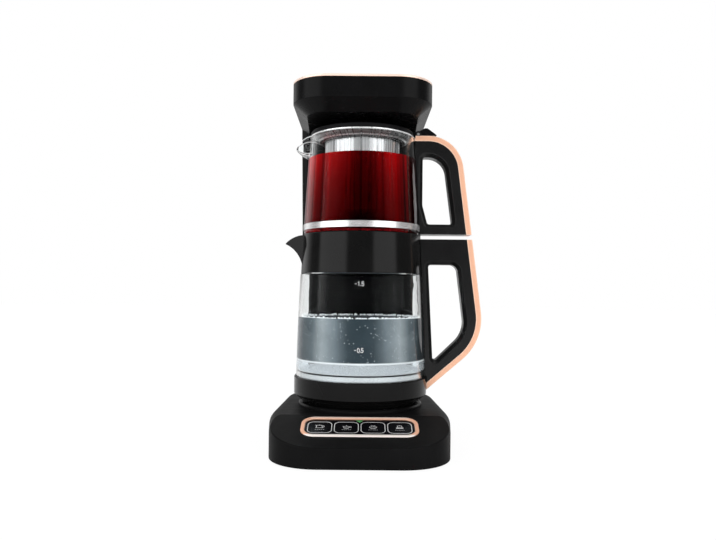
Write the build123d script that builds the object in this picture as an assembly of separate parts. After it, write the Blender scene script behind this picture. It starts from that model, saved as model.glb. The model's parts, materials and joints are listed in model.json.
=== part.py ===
"""Automatic tea maker: a glass kettle with a glass teapot on top of it, docked on a control base,
with a rear column that carries hot water up to a brew head over the teapot.

Everything is modelled in millimetres about the common axis of the two pots, with the floor at
z = 0, the front towards -Y, the handles towards +X and the spouts towards -X. Each piece is
exported moved by row_shift, which puts the origin under the middle of the whole machine.
"""

import os
from math import cos, pi, radians, sin, tan

from build123d import *

# ---------------------------------------------------------------- driving dimensions
wall = 2.5                      # moulded casing walls
fit_gap = 0.2                   # between pieces that are assembled and stay together
running_gap = 0.3               # between pieces that move past each other
pin_gap = 0.06                  # radial clearance of a hinge pin in its bore
through = 1.0                   # how far a cutter starts before the surface it opens
far = 500.0                     # longer than the machine, for cutters that go right through
soft_edge = 1.0                 # small roundings and chamfers on turned pieces

# control base
base_front = 140.0              # from the pots' axis to the front edge
base_rear = 106.0               # from the pots' axis to the rear edge
base_half_front = 86.2          # half width where the sides would meet the front edge
base_half_middle = 97.7         # half width at its widest
base_half_rear = 91.0
base_widest_y = -45.0
base_front_corner = 52.0
base_rear_corner = 38.0
base_side_blend = 160.0
front_wall_height = 21.5        # where the sloping panel meets the front wall
deck_height = 41.0
shoulder_radius = 13.0          # rounding of the deck's outer edge
panel_slope = 16.3              # degrees
crease_radius = 1.2
bottom_edge_radius = 1.2

# floor plate, feet and screws
foot_height = 1.0               # clear space under the base
foot_radius = 8.5
foot_recess = 1.2
foot_rim = 2.0                  # of the plate's pad round each foot
foot_inset = 25.0               # from the base's sides
foot_setback_front = 42.0
foot_setback_rear = 34.0
floor_plate_thickness = 3.0
floor_vent_count = 9
floor_vent_pitch = 7.0
floor_vent_length = 26.0
floor_vent_width = 2.6
floor_vent_y = -62.0
boss_radius = 4.0
boss_inset_front = 23.7         # from the base's sides
boss_inset_rear = 15.0
boss_setback_front = 56.0
boss_setback_rear = 47.0
screw_length = 11.0
screw_radius = 1.5
screw_head_radius = 2.9
screw_head_height = 1.8
screw_recess_length = 3.0
screw_recess_width = 0.7
screw_recess_depth = 0.7

# cord gland
gland_x = -40.0
gland_z = 14.0
gland_radius = 6.0
gland_bore = 3.2
gland_flange = 2.0              # flange width and thickness inside the wall
gland_tail = 8.0                # length behind the wall

# control panel
panel_setback = 41.5            # from the front edge to the panel's middle, along Y
panel_width = 118.0
panel_depth = 41.0              # measured up the slope
panel_corner = 14.0
bezel_width = 3.8
bezel_proud = 0.8
bezel_edge = 0.5
panel_recess = 2.4
fascia_thickness = 2.0
button_count = 4
button_space = 2.1              # between neighbouring buttons
button_margin = 2.85            # from the outer buttons to the bezel
button_margin_low = 3.6
button_margin_high = 6.4
button_corner = 6.5
button_proud = 0.5
button_edge = 0.5
button_gap = 0.35
button_travel = 0.8
button_lip = 1.4                # how far the button's keeper reaches under the fascia
button_lip_inset = 2.0          # of the keeper from the button's sides
button_lip_thickness = 1.2
button_stem = 2.4               # radius
dome_height = 1.8
dome_radius = 3.6
dome_skin = 0.6
board_thickness = 1.6
board_post_radius = 3.0
board_clearance = 7.0           # the control board ends this far inside the panel
opening_margin = 1.0            # round the keepers and the lens
indicator_width = 8.0
indicator_drop = 4.8
indicator_margin = 1.7          # from the indicator to the bezel
lamp_radius = 1.5
lamp_height = 2.4

# dock, power connector and water port
dock_radius = 70.0
dock_rise = 4.0                 # above the deck
dock_edge = 1.5
dock_spigot_radius = 60.0
dock_spigot_depth = 3.0
dock_groove_inset = 6.0
dock_groove_pitch = 14.0
dock_groove_width = 2.0
dock_groove_depth = 0.8
connector_radius = 15.2
connector_rise = 7.0            # above the dock
connector_depth = 22.0          # below the dock
contact_groove_depth = 5.0
contact_groove_inner = 8.5
contact_groove_outer = 10.5
contact_pin_radius = 2.5
contact_pin_recess = 5.5        # radius
contact_pin_rise = 3.0
water_port_y = 32.0
water_port_radius = 7.0
water_port_depth = 8.0          # below the dock's top
water_port_lip = 2.0
water_bore_radius = 3.0

# main board
main_board_x = -52.0
main_board_y = 6.0
main_board_rise = 6.0           # above the floor plate
main_board_width = 52.0
main_board_length = 74.0
relay_height = 15.0
transformer_height = 12.0
capacitor_height = 18.0
capacitor_radius = 6.0
terminal_height = 9.0

# water circuit
hose_radius = 4.0
hose_bore = 2.5
hose_bend = 14.0
pump_x = 38.0
pump_z = 20.0
pump_head_radius = 13.0
pump_head_length = 16.0
pump_motor_radius = 11.5
pump_motor_length = 30.0
cradle_half_width = 9.0
cradle_end_gap = 4.0            # from the cradle to the motor's two ends
cradle_drop = 6.0               # from the motor's axis to the cradle's top
barb_radius = 2.4
barb_bore = 1.4
barb_length = 7.0
riser_y = 88.0
riser_turn_y = 34.0

# kettle
kettle_ring_radius = 75.4
kettle_ring_height = 28.7
kettle_ring_wall = 4.4
kettle_bevel_height = 9.6
kettle_bevel_width = 10.4
kettle_floor_thickness = 2.5
glass_wall = 3.4
glass_socket_depth = 4.0        # how far the glass stands in the base ring
kettle_glass_height = 119.5
kettle_glass_radius_low = 73.3
kettle_glass_radius_mid = 71.8
kettle_glass_radius_high = 69.2
kettle_neck_radius = 66.0
kettle_neck_height = 16.5
heater_rise = 12.0              # above the bottom of the glass
heater_sheet = 2.0
seal_thickness = 2.0
seal_width = 7.0
spreader_radius = 58.0
spreader_thickness = 2.5
element_ring_radius = 50.0
element_tube_radius = 3.3
element_end_length = 14.0
element_arc = 300.0             # degrees
thermostat_length = 24.0
thermostat_width = 18.0
thermostat_cap_radius = 7.0
thermostat_cap_height = 2.0
coupler_gap = 1.2               # radial clearance round the connector
coupler_wall = 3.6
coupler_height = 12.4
coupler_roof = 2.4
coupler_contact_gap = 0.4
valve_lip = 2.0
valve_flange_thickness = 1.6

# kettle collar
collar_height = 44.2
collar_radius_low = 68.7
collar_radius_high = 66.5
mouth_radius = 54.0
mouth_flange = 4.4
beak_reach = 20.0               # past the collar's top
beak_drop = 11.1                # from the collar's top to the tip
beak_rim_drop = 1.5             # from the collar's top to the beak's upper line
beak_tip_edge = 0.6
beak_root_drop = 37.7
beak_upper_sag = 2.9
beak_lower_sag = 4.4
beak_half_width = 23.0
beak_tip_half_width = 4.5

# teapot
tea_glass_wall = 2.8
tea_glass_floor = 4.5
tea_radius_low = 65.6
tea_radius_rim = 59.7
tea_foot_radius = 3.0           # rounding of the bottom edge
tea_straight_height = 12.0
tea_height = 109.5
band_rise = 3.7                 # from the teapot's bottom
band_height = 6.6
band_thickness = 0.8
band_gap = 0.05
lip_reach = 15.5                # past the rim
lip_drop = 13.3                 # from the rim to the tip
lip_tip_edge = 1.2
lip_root_drop = 21.5
lip_upper_sag = 3.2
lip_lower_sag = 1.2
lip_half_width = 27.0
lip_tip_half_width = 4.0

# infuser basket
basket_radius = 42.5
basket_depth = 87.5
basket_sheet = 0.8
basket_corner = 3.0
basket_cone_drop = 9.5          # from the rim to where the basket widens
basket_flange_inner = 55.0
basket_flange_outer = 59.2
slot_columns = 16
slot_rows = 2
slot_width = 2.4
slot_height = 22.0
slot_pitch = 30.0
floor_hole_radius = 2.0
floor_hole_circle = 26.0
floor_hole_count = 12

# teapot lid
lid_radius = 58.4
lid_edge_height = 5.0
lid_crown = 1.1                 # from the lid's edge up to its flat middle
lid_plug_radius = 48.0
lid_plug_depth = 3.6
lid_plug_wall = 2.0
lid_inlet_radius = 12.0
lid_inlet_rim = 6.0
lid_inlet_drop = 1.6
lid_gap = 0.4
hinge_reach = 3.5               # from the rim's radius to the hinge's axis
hinge_rise = 3.7                # from the lid's bottom to the hinge's axis
hinge_pin_radius = 1.5
hinge_eye_radius = 3.4
hinge_ear_inner = 5.2
hinge_ear_outer = 9.2
lever_peak_reach = 9.5          # these four are measured from the hinge's axis
lever_peak_rise = 7.8
lever_end_reach = 21.3
lever_drop = 0.5
lever_peak_width = 3.0
lever_bend = 2.0
lever_tip = 0.8
lever_neck = 3.0                # above and below the hinge's axis

# handles
handle_width = 22.0
strip_thickness = 6.0
grip_bevel = 4.0
handle_gap = 0.2
handle_root = 50.0              # the handles' blanks start this far from the axis
kettle_handle_drop = 4.5        # from the collar's top
kettle_handle_top_x = 125.3
kettle_handle_knee_x = 140.1
kettle_handle_knee_rise = 41.0  # above the base ring
kettle_handle_foot_x = 70.0
kettle_handle_bend = 60.0
kettle_hole_left = 76.0
kettle_hole_top_right = 108.7
kettle_hole_knee_x = 118.4
kettle_hole_knee_rise = 50.0    # above the base ring
kettle_hole_bottom_x = 82.0
kettle_hole_rise = 14.9         # above the base ring
kettle_hole_drop = 28.6         # below the handle's top
kettle_hole_bend = 30.0
kettle_screw_places = (86.0, 100.0)
tea_handle_rise = 2.7           # above the teapot's rim
tea_handle_foot_rise = 0.7      # above the teapot's bottom
tea_handle_start_x = 58.0
tea_handle_top_x = 110.0
tea_handle_foot_x = 124.5
tea_handle_bend = 40.0
tea_hole_left = 68.8
tea_hole_top_right = 93.0
tea_hole_bottom_right = 103.1
tea_hole_bottom_left = 74.6
tea_hole_drop = 20.9            # below the rim
tea_hole_rise = 12.4            # above the teapot's bottom
tea_hole_waist = 34.0           # above the teapot's bottom
tea_hole_bend = 21.0
hole_corner = 3.0

# column and brew head
column_front = 60.0
column_rear = 104.0
column_half_bottom = 70.8
column_corner = 9.0
column_foot_depth = 11.0        # below the deck
column_recess_radius = 79.5
column_split = 91.0
column_post_radius = 5.0
column_post_x = 56.0
column_post_y = 82.0
cable_way_width = 14.0
vent_count = 8
vent_pitch = 6.5
vent_length = 60.0
vent_width = 2.6
vent_drop = 70.0                # from the head's crease to the lowest vent
head_front = 80.0
head_half_width = 75.3
head_corner = 40.0
head_rear_corner = 9.0
head_clearance = 7.7            # above the lid
head_lower_height = 12.2
head_upper_height = 23.3
head_inset_front = 16.0
head_inset_side = 16.0
head_inset_rear = 9.0
head_underside_setback = 1.0
trim_height = 2.6
trim_width = 3.0
trim_edge = 0.8
top_cover_drop = 0.8
head_post_front_x = 40.0
head_post_front_y = -46.0
head_post_rear_x = 52.0
head_post_rear_y = 40.0
nozzle_radius = 8.0
nozzle_drop = 3.0
nozzle_flange = 3.0
nozzle_bore = 1.6
nozzle_chamber = 5.0            # radius
nozzle_jet_count = 6
nozzle_jet_radius = 0.9
nozzle_jet_circle = 4.2

# ---------------------------------------------------------------- derived sizes and places
floor_plate_top = foot_height + floor_plate_thickness
dock_top = deck_height + dock_rise
kettle_bottom = dock_top + running_gap
kettle_bevel_top = kettle_bottom + kettle_bevel_height
kettle_floor_top = kettle_bottom + kettle_floor_thickness
kettle_ring_top = kettle_bottom + kettle_ring_height
kettle_glass_bottom = kettle_ring_top - glass_socket_depth
heater_top = kettle_glass_bottom + heater_rise
heater_under = heater_top - heater_sheet
spreader_under = heater_under - spreader_thickness
collar_bottom = kettle_glass_bottom + kettle_glass_height
collar_shoulder = collar_bottom + kettle_neck_height + fit_gap
collar_top = collar_bottom + collar_height
tea_bottom = collar_top + running_gap
tea_straight_top = tea_bottom + tea_straight_height
tea_rim = tea_bottom + tea_height
band_bottom = tea_bottom + band_rise
basket_bottom = tea_rim - basket_depth
basket_cone_bottom = tea_rim - basket_cone_drop
lid_bottom = tea_rim + basket_sheet + lid_gap
lid_edge_top = lid_bottom + lid_edge_height
lid_top = lid_edge_top + lid_crown
hinge_x = tea_radius_rim + hinge_reach
hinge_z = lid_bottom + hinge_rise
head_bottom = lid_top + head_clearance
head_crease = head_bottom + head_lower_height
head_top = head_crease + head_upper_height
top_cover_low = head_top - trim_height - wall
column_foot = deck_height - column_foot_depth
main_board_z = floor_plate_top + main_board_rise

slope = radians(panel_slope)
panel_y = panel_setback - base_front
panel_z = front_wall_height + tan(slope) * panel_setback
panel_plane = Plane(
    origin=(0, panel_y, panel_z), x_dir=(1, 0, 0), z_dir=(0, -sin(slope), cos(slope))
)
button_width = (panel_width - 2 * bezel_width - 2 * button_margin) / button_count \
    - button_space * (button_count - 1) / button_count
button_depth = panel_depth - 2 * bezel_width - button_margin_low - button_margin_high
button_v = (button_margin_low - button_margin_high) / 2
button_pitch = button_width + button_space
button_span = (button_count - 1) * button_pitch
button_places = [i * button_pitch - button_span / 2 for i in range(button_count)]
indicator_v = panel_depth / 2 - bezel_width - indicator_margin
fascia_top = fascia_thickness - panel_recess
fascia_bottom = -panel_recess
lip_top = fascia_bottom - running_gap
lip_bottom = lip_top - button_lip_thickness
stem_bottom = lip_bottom - button_travel - running_gap
board_top = stem_bottom - dome_height

kettle_handle_top = collar_top - kettle_handle_drop
kettle_handle_path = [
    (kettle_handle_top_x, kettle_handle_top),
    (kettle_handle_knee_x, kettle_ring_top + kettle_handle_knee_rise),
    (kettle_handle_foot_x, kettle_bevel_top),
]
kettle_finger_hole = [
    (kettle_hole_left, kettle_handle_top - kettle_hole_drop, hole_corner),
    (kettle_hole_top_right, kettle_handle_top - kettle_hole_drop, 3 * hole_corner),
    (kettle_hole_knee_x, kettle_ring_top + kettle_hole_knee_rise, kettle_hole_bend),
    (kettle_hole_bottom_x, kettle_ring_top + kettle_hole_rise, hole_corner),
]
tea_handle_path = [
    (tea_handle_start_x, tea_rim + tea_handle_rise),
    (tea_handle_top_x, tea_rim + tea_handle_rise),
    (tea_handle_foot_x, tea_bottom + tea_handle_foot_rise),
]
tea_finger_hole = [
    (tea_hole_left, tea_rim - tea_hole_drop, hole_corner),
    (tea_hole_top_right, tea_rim - tea_hole_drop, tea_hole_bend),
    (tea_hole_bottom_right, tea_bottom + tea_hole_rise, hole_corner),
    (tea_hole_bottom_left, tea_bottom + tea_hole_rise, hole_corner),
    (tea_hole_left, tea_bottom + tea_hole_waist, 4 * hole_corner),
]


def both_sides(*places):
    """Each (x, y) place and its mirror image."""
    return [(side * x, y) for x, y in places for side in (-1, 1)]


base_boss_places = both_sides(
    (base_half_middle - boss_inset_front, boss_setback_front - base_front),
    (base_half_rear - boss_inset_rear, base_rear - boss_setback_rear))
foot_places = both_sides(
    (base_half_front - foot_inset, foot_setback_front - base_front),
    (base_half_rear - foot_inset, base_rear - foot_setback_rear))
column_post_places = both_sides((column_post_x, column_post_y))
head_post_places = both_sides(
    (head_post_front_x, head_post_front_y), (head_post_rear_x, head_post_rear_y))
board_post_places = [
    (main_board_x + side * (main_board_width / 2 - boss_radius),
     main_board_y + end * (main_board_length / 2 - boss_radius))
    for side in (-1, 1) for end in (-1, 1)
]


# ---------------------------------------------------------------- shared shapes
def disc(radius, low, high, x=0.0, y=0.0):
    return Pos(x, y, low) * extrude(Circle(radius), amount=high - low)


def tube(outer, inner, low, high, x=0.0, y=0.0):
    return Pos(x, y, low) * extrude(Circle(outer) - Circle(inner), amount=high - low)


def block(x_range, y_range, z_range):
    size = [high - low for low, high in (x_range, y_range, z_range)]
    middle = [(high + low) / 2 for low, high in (x_range, y_range, z_range)]
    return Pos(*middle) * Box(*size)


def turned(*points):
    """A solid of revolution about the pots' axis, from points of (radius, height)."""
    return revolve(Plane.XZ * make_face(Polyline(*points, close=True)), Axis.Z)


def side_plate(outline, width):
    """A face drawn in X and Z, given its width to both sides of the pots' middle plane."""
    return extrude(Plane.XZ * outline, amount=width / 2, both=True)


def rounded_outline(corners):
    """A closed face from (x, y, radius) corners."""
    points = [(x, y) for x, y, _ in corners]
    radii = [radius for _, _, radius in corners]
    return make_face(FilletPolyline(*points, radius=radii, close=True))


def shrunk(face, amount):
    return offset(face, amount=-amount) if amount else face


def edges_at(shape, height):
    """The edges whose middle lies at a height."""
    return shape.edges().filter_by(lambda edge: abs(edge.center().Z - height) < 0.01)


def screw(x, y, head_bottom, length):
    """A countersunk screw driven upwards, with a cross recess in its head."""
    head_top_z = head_bottom + screw_head_height
    head = Pos(x, y, 0) * turned(
        (0, head_bottom), (screw_head_radius, head_bottom), (screw_radius, head_top_z), (0, head_top_z))
    shank = disc(screw_radius, head_top_z, head_bottom + length, x, y)
    slot = Box(screw_recess_length, screw_recess_width, 2 * screw_recess_depth)
    return head + shank - Pos(x, y, head_bottom) * (slot + Rot(0, 0, 90) * slot)


def pouring_lip(start, tip, root, tip_edge, sags, half_widths, inset=0.0):
    """A lip between an upper and a lower arc, cut to a plan that narrows to its tip.

    The points are (x, z). With an inset it is the open channel inside the lip instead.
    """
    (start_x, start_z), (tip_x, tip_z), (root_x, root_z) = start, tip, root
    upper_sag, lower_sag = sags
    half_root, half_tip = half_widths
    back_x = start_x + half_root / 2
    lower = SagittaArc((tip_x + inset, tip_z), (root_x + inset, root_z + inset), lower_sag)
    if inset:
        above = start_z + half_root
        rest = Polyline(lower @ 1, (back_x, root_z + inset), (back_x, above), (tip_x + inset, above), lower @ 0)
        profile = make_face(Curve() + [lower, rest])
    else:
        upper = SagittaArc(start, (tip_x, tip_z + tip_edge), -upper_sag)
        back = Polyline(lower @ 1, (back_x, root_z), (back_x, start_z), start)
        profile = make_face(Curve() + [upper, Line(upper @ 1, lower @ 0), lower, back])
    narrow, corner = half_tip - 0.6 * inset, 0.66 * (half_tip - 0.6 * inset)
    wide = half_root - inset
    plan = rounded_outline([
        (back_x, wide, 0), (back_x, -wide, 0), (tip_x + inset, -narrow, corner), (tip_x + inset, narrow, corner)])
    return side_plate(profile, far) & extrude(plan, amount=far)


# ---------------------------------------------------------------- control base
def base_outline(inset=0.0):
    """The base seen from above: a front narrower than its middle, with wide round corners."""
    half = [
        (base_half_front, -base_front, base_front_corner),
        (base_half_middle, base_widest_y, base_side_blend),
        (base_half_rear, base_rear, base_rear_corner),
    ]
    mirrored = [(-x, y, radius) for x, y, radius in reversed(half)]
    return shrunk(rounded_outline(half + mirrored), inset)


def above_slope(inset=0.0):
    """The space above the sloping panel face, with its lower edge on the front wall."""
    plane = Plane(
        origin=(0, -base_front, front_wall_height - inset / cos(slope)),
        x_dir=(1, 0, 0), z_dir=(0, -sin(slope), cos(slope)))
    return plane * (Pos(0, 0, far / 2) * Box(far, 2 * far, far))


def base_form(inset=0.0, bottom=foot_height):
    """The base's whole form, taken in by inset at its sides and top."""
    top = deck_height - inset
    prism = Pos(0, 0, bottom) * extrude(base_outline(inset), amount=top - bottom)
    return fillet(edges_at(prism, top), shoulder_radius - inset) - above_slope(inset)


def panel_block(width, depth, corner, low, high, u=0.0, v=0.0):
    """A rounded plate on the panel: low and high are measured out of the sloping face."""
    face = Pos(u, v, low) * RectangleRounded(width, depth, corner)
    return panel_plane * extrude(face, amount=high - low)


def indicator_prism(low, high):
    half = indicator_width / 2
    face = make_face(Polyline(
        (-half, indicator_v), (half, indicator_v), (0, indicator_v - indicator_drop), close=True))
    return panel_plane * (Pos(0, 0, low) * extrude(face, amount=high - low))


def panel_opening(low, high):
    """The hole under the fascia that the buttons and the indicator reach through."""
    keepers = panel_block(
        button_span + button_width + 2 * opening_margin,
        button_depth + 2 * (button_lip + opening_margin), board_post_radius, low, high, v=button_v)
    lens = panel_block(
        indicator_width + 2 * opening_margin, indicator_drop + 2 * opening_margin, opening_margin,
        low, high, v=indicator_v - indicator_drop / 2)
    return keepers + lens


def base_housing():
    whole = base_form()
    outside = fillet(edges_at(whole, foot_height), bottom_edge_radius)
    shell = outside - base_form(wall, bottom=0)
    crease = edges_at(shell, front_wall_height).filter_by(lambda e: e.center().Y < wall - base_front)
    shell = fillet(crease, crease_radius)
    pocket_floor = panel_block(
        panel_width + 2 * wall, panel_depth + 2 * wall, panel_corner + wall,
        -panel_recess - wall, -wall)
    shell += pocket_floor & whole
    shell -= panel_block(
        panel_width + 2 * fit_gap, panel_depth + 2 * fit_gap, panel_corner + fit_gap, -panel_recess,
        deck_height)
    shell -= panel_opening(-panel_recess - wall - through, 0)
    shell -= disc(dock_spigot_radius + fit_gap, deck_height - wall - through, dock_top)
    shell -= column_form(-fit_gap)
    for x, y in base_boss_places:
        shell += disc(boss_radius, floor_plate_top, deck_height, x, y) & base_form(wall / 2)
        shell -= disc(screw_radius, floor_plate_top - through, foot_height + screw_length + through, x, y)
    for side in (-1, 1):
        post = Pos(side * (panel_width - board_post_radius) / 2, 0, board_top) * extrude(
            Circle(board_post_radius), amount=-panel_recess - wall / 2 - board_top)
        shell += panel_plane * post
    gland_hole = Pos(gland_x, base_rear, gland_z) * Rot(90, 0, 0) * Cylinder(
        gland_radius + fit_gap, 4 * wall)
    return shell - gland_hole


def base_floor_plate():
    plate = Pos(0, 0, foot_height) * extrude(
        base_outline(wall + fit_gap), amount=floor_plate_thickness)
    for x, y in foot_places:
        plate += disc(foot_radius + foot_rim, foot_height, floor_plate_top + foot_recess, x, y)
        plate -= disc(foot_radius + fit_gap, 0, foot_height + foot_recess, x, y)
    head_low = column_foot - screw_length + wall
    for x, y in column_post_places:
        plate += disc(column_post_radius, floor_plate_top - through, column_foot, x, y)
        plate -= disc(screw_radius, 0, column_foot + through, x, y)
        plate -= disc(screw_head_radius + fit_gap, 0, head_low + screw_head_height, x, y)
    for x, y in base_boss_places:
        plate -= disc(screw_radius + fit_gap, 0, floor_plate_top + through, x, y)
        plate -= disc(screw_head_radius + fit_gap, 0, foot_height + screw_head_height, x, y)
    for x, y in board_post_places:
        plate += disc(board_post_radius, floor_plate_top - through, main_board_z, x, y)
    for i in range(floor_vent_count):
        x = (i - (floor_vent_count - 1) / 2) * floor_vent_pitch
        plate -= Pos(x, floor_vent_y, 0) * extrude(
            SlotOverall(floor_vent_length, floor_vent_width, rotation=90), amount=floor_plate_top + through)
    motor_start = pump_x + pump_head_length
    plate += block(
        (motor_start + cradle_end_gap, motor_start + pump_motor_length - cradle_end_gap),
        (water_port_y - cradle_half_width, water_port_y + cradle_half_width),
        (floor_plate_top - through, pump_z - cradle_drop))
    plate -= Pos(0, water_port_y, pump_z) * Rot(0, 90, 0) * Cylinder(pump_motor_radius + fit_gap, far)
    return plate + tube(
        connector_radius + wall, connector_radius - wall, floor_plate_top - through,
        dock_top - connector_depth)


def rubber_feet():
    top = foot_height + foot_recess
    foot = turned(
        (0, 0), (foot_radius - soft_edge, 0), (foot_radius, soft_edge), (foot_radius, top), (0, top))
    return [Pos(x, y, 0) * foot for x, y in foot_places]


def base_screws():
    into_bosses = [screw(x, y, foot_height, screw_length) for x, y in base_boss_places]
    into_column = [
        screw(x, y, column_foot - screw_length + wall, screw_length) for x, y in column_post_places
    ]
    return into_bosses + into_column


def cord_gland():
    """The rubber bushing for the mains lead, flush with the rear wall and flanged inside it."""
    behind = wall + fit_gap
    body = turned(
        (0, 0), (gland_radius, 0), (gland_radius, behind), (gland_radius + gland_flange, behind),
        (gland_radius + gland_flange, behind + gland_flange), (gland_radius - soft_edge, behind + gland_flange),
        (gland_radius - soft_edge, wall + gland_tail), (0, wall + gland_tail))
    return Pos(gland_x, base_rear, gland_z) * Rot(90, 0, 0) * (body - Cylinder(gland_bore, far))


# ---------------------------------------------------------------- control panel
def panel_bezel():
    outer = panel_block(panel_width, panel_depth, panel_corner, -panel_recess, bezel_proud)
    top_edges = outer.faces().sort_by(Axis.Z)[-1].edges()
    return fillet(top_edges, bezel_edge) - panel_block(
        panel_width - 2 * bezel_width, panel_depth - 2 * bezel_width, panel_corner - bezel_width,
        -panel_recess - through, bezel_proud + through)


def panel_fascia():
    clear = bezel_width + fit_gap / 2
    plate = panel_block(
        panel_width - 2 * clear, panel_depth - 2 * clear, panel_corner - clear, fascia_bottom, fascia_top)
    for u in button_places:
        plate -= panel_block(
            button_width + 2 * button_gap, button_depth + 2 * button_gap, button_corner + button_gap,
            fascia_bottom - through, fascia_top + through, u, button_v)
    return plate - indicator_prism(fascia_bottom - through, fascia_top + through)


def button(u):
    """A key cap with a keeper lip under the fascia and a stem down to its rubber dome."""
    cap = panel_block(
        button_width, button_depth, button_corner, lip_bottom, fascia_top + button_proud, u, button_v)
    top_face = cap.faces().sort_by(lambda f: panel_plane.to_local_coords(f.center()).Z)[-1]
    cap = fillet(top_face.edges(), button_edge)
    lip = panel_block(
        button_width - 2 * button_lip_inset, button_depth + 2 * button_lip, button_lip_inset,
        lip_bottom, lip_top, u, button_v)
    stem = Pos(u, button_v, stem_bottom) * extrude(Circle(button_stem), amount=lip_bottom - stem_bottom)
    return cap + lip + panel_plane * stem


def button_dome(u):
    dome = turned(
        (0, dome_height - dome_skin), (0, dome_height), (button_stem, dome_height), (dome_radius, 0),
        (dome_radius - dome_skin, 0), (button_stem - dome_skin, dome_height - dome_skin))
    return panel_plane * (Pos(u, button_v, board_top) * dome)


def control_board():
    low = board_top - board_thickness
    board = panel_block(
        panel_width + board_post_radius, panel_depth - 2 * board_clearance, button_lip_inset,
        low, board_top, v=button_v)
    board += panel_block(
        indicator_width + 2 * board_post_radius, panel_depth - board_clearance, button_lip_inset,
        low, board_top, v=-button_v)
    lamp = Pos(0, indicator_v - indicator_drop / 2, low) * extrude(
        Circle(lamp_radius), amount=board_thickness + lamp_height)
    return board + panel_plane * lamp


def indicator_lens():
    return indicator_prism(fascia_bottom - dome_skin, fascia_top)


# ---------------------------------------------------------------- dock, power and water
def kettle_dock():
    spigot_bottom = deck_height - dock_spigot_depth
    dock = turned(
        (0, spigot_bottom), (dock_spigot_radius, spigot_bottom), (dock_spigot_radius, deck_height),
        (dock_radius, deck_height), (dock_radius, dock_top - dock_edge), (dock_radius - dock_edge, dock_top),
        (0, dock_top))
    for i in range(2):
        radius = dock_radius - dock_groove_inset - i * dock_groove_pitch
        dock -= tube(radius, radius - dock_groove_width, dock_top - dock_groove_depth, dock_top + through)
    dock -= disc(connector_radius + fit_gap, 0, far)
    return dock - disc(water_port_radius + fit_gap, 0, far, y=water_port_y)


def power_connector():
    """A 360 degree connector: a post with one round contact groove and a centre pin."""
    top = dock_top + connector_rise
    low = dock_top - connector_depth
    groove_low = top - contact_groove_depth
    post = turned(
        (0, low), (connector_radius, low), (connector_radius, top - soft_edge),
        (connector_radius - soft_edge, top), (0, top))
    post -= tube(contact_groove_outer, contact_groove_inner, groove_low, top + through)
    post -= tube(contact_pin_recess, contact_pin_radius, groove_low, top + through)
    return post + disc(contact_pin_radius, groove_low, top + contact_pin_rise)


def dock_water_port():
    """The soft cup that seals against the valve in the kettle's floor."""
    low = dock_top - water_port_depth
    port = disc(water_port_radius, low, dock_top - fit_gap, y=water_port_y)
    port += disc(barb_radius, low - barb_length, low, y=water_port_y)
    port -= disc(water_port_radius - water_port_lip, dock_top - water_port_lip, dock_top, y=water_port_y)
    return port - disc(barb_bore, 0, far, y=water_port_y)


def main_board():
    """The power board: relay, transformer, smoothing capacitor and three mains terminals."""
    width, length = main_board_width, main_board_length
    board = Pos(0, 0, board_thickness / 2) * Box(width, length, board_thickness)
    board += block((-0.4 * width, 0), (-0.4 * length, -0.2 * length), (0, relay_height))
    board += block((-0.4 * width, -0.1 * width), (0.05 * length, 0.3 * length), (0, transformer_height))
    board += disc(capacitor_radius, 0, capacitor_height, 0.2 * width, 0.2 * length)
    for start in (0.08, 0.2, 0.32):
        board += block(
            (start * width, (start + 0.1) * width), (-0.4 * length, -0.3 * length), (0, terminal_height))
    return Pos(main_board_x, main_board_y, main_board_z) * board


def water_pump():
    """A motor-driven centrifugal pump lying along X, with its inlet on the axis."""
    head_end = pump_head_length + pump_motor_length
    body = disc(pump_head_radius, 0, pump_head_length) + disc(pump_motor_radius, pump_head_length, head_end)
    body += disc(barb_radius, -barb_length, 0)
    outlet = Pos(0, pump_head_radius, pump_head_length / 2) * Rot(90, 0, 0) * Cylinder(
        barb_radius, 2 * barb_length)
    return Pos(pump_x, water_port_y, pump_z) * Rot(0, 90, 0) * (body + outlet)


def hose(points, radii):
    """A hose of the one size along straight runs joined by tangent arcs."""
    path = FilletPolyline(*points, radius=radii)
    start = Plane(origin=path @ 0, z_dir=path % 0)
    return sweep(start * (Circle(hose_radius) - Circle(hose_bore)), path=path)


def inlet_hose():
    return hose(
        [(0, water_port_y, dock_top - water_port_depth), (0, water_port_y, pump_z),
         (pump_x - fit_gap, water_port_y, pump_z)],
        [2 * hose_radius])


def riser_hose():
    """From the pump up the column and forward through the head to the nozzle."""
    x = pump_x + pump_head_length / 2
    level = head_crease + 2 * hose_radius
    return hose(
        [(x, water_port_y + pump_head_radius + fit_gap, pump_z), (x, riser_y, pump_z), (x, riser_y, level),
         (0, riser_turn_y, level), (0, 0, level), (0, 0, head_bottom + wall + nozzle_flange + fit_gap)],
        [hose_bend, hose_bend, hose_bend, 2 * hose_radius])


# ---------------------------------------------------------------- column
def column_form(inset=0.0):
    """The column's whole form: widening towards the head, hollowed in front for the pots."""
    depth = column_rear - column_front - 2 * inset
    middle = (column_rear + column_front) / 2
    corner = column_corner - inset
    low = Pos(0, middle, column_foot) * RectangleRounded(
        2 * (column_half_bottom - inset), depth, corner)
    high = Pos(0, middle, head_crease) * RectangleRounded(2 * (head_half_width - inset), depth, corner)
    form = loft([low, high], ruled=True)
    return form - disc(column_recess_radius + inset, 0, far)


def behind_split():
    return block((-far, far), (column_split, far), (0, far))


def column_shell():
    shell = column_form() - column_form(wall)
    foot = column_form() & block((-far, far), (0, far), (0, column_foot + wall))
    cable_way = Pos(0, riser_y, 0) * extrude(
        Rectangle(2 * (pump_x + pump_head_length), cable_way_width), amount=far)
    for x, y in column_post_places:
        foot -= disc(screw_radius, 0, far, x, y)
    return shell + (foot - cable_way)


def column_front_cover():
    return column_shell() - behind_split()


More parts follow.
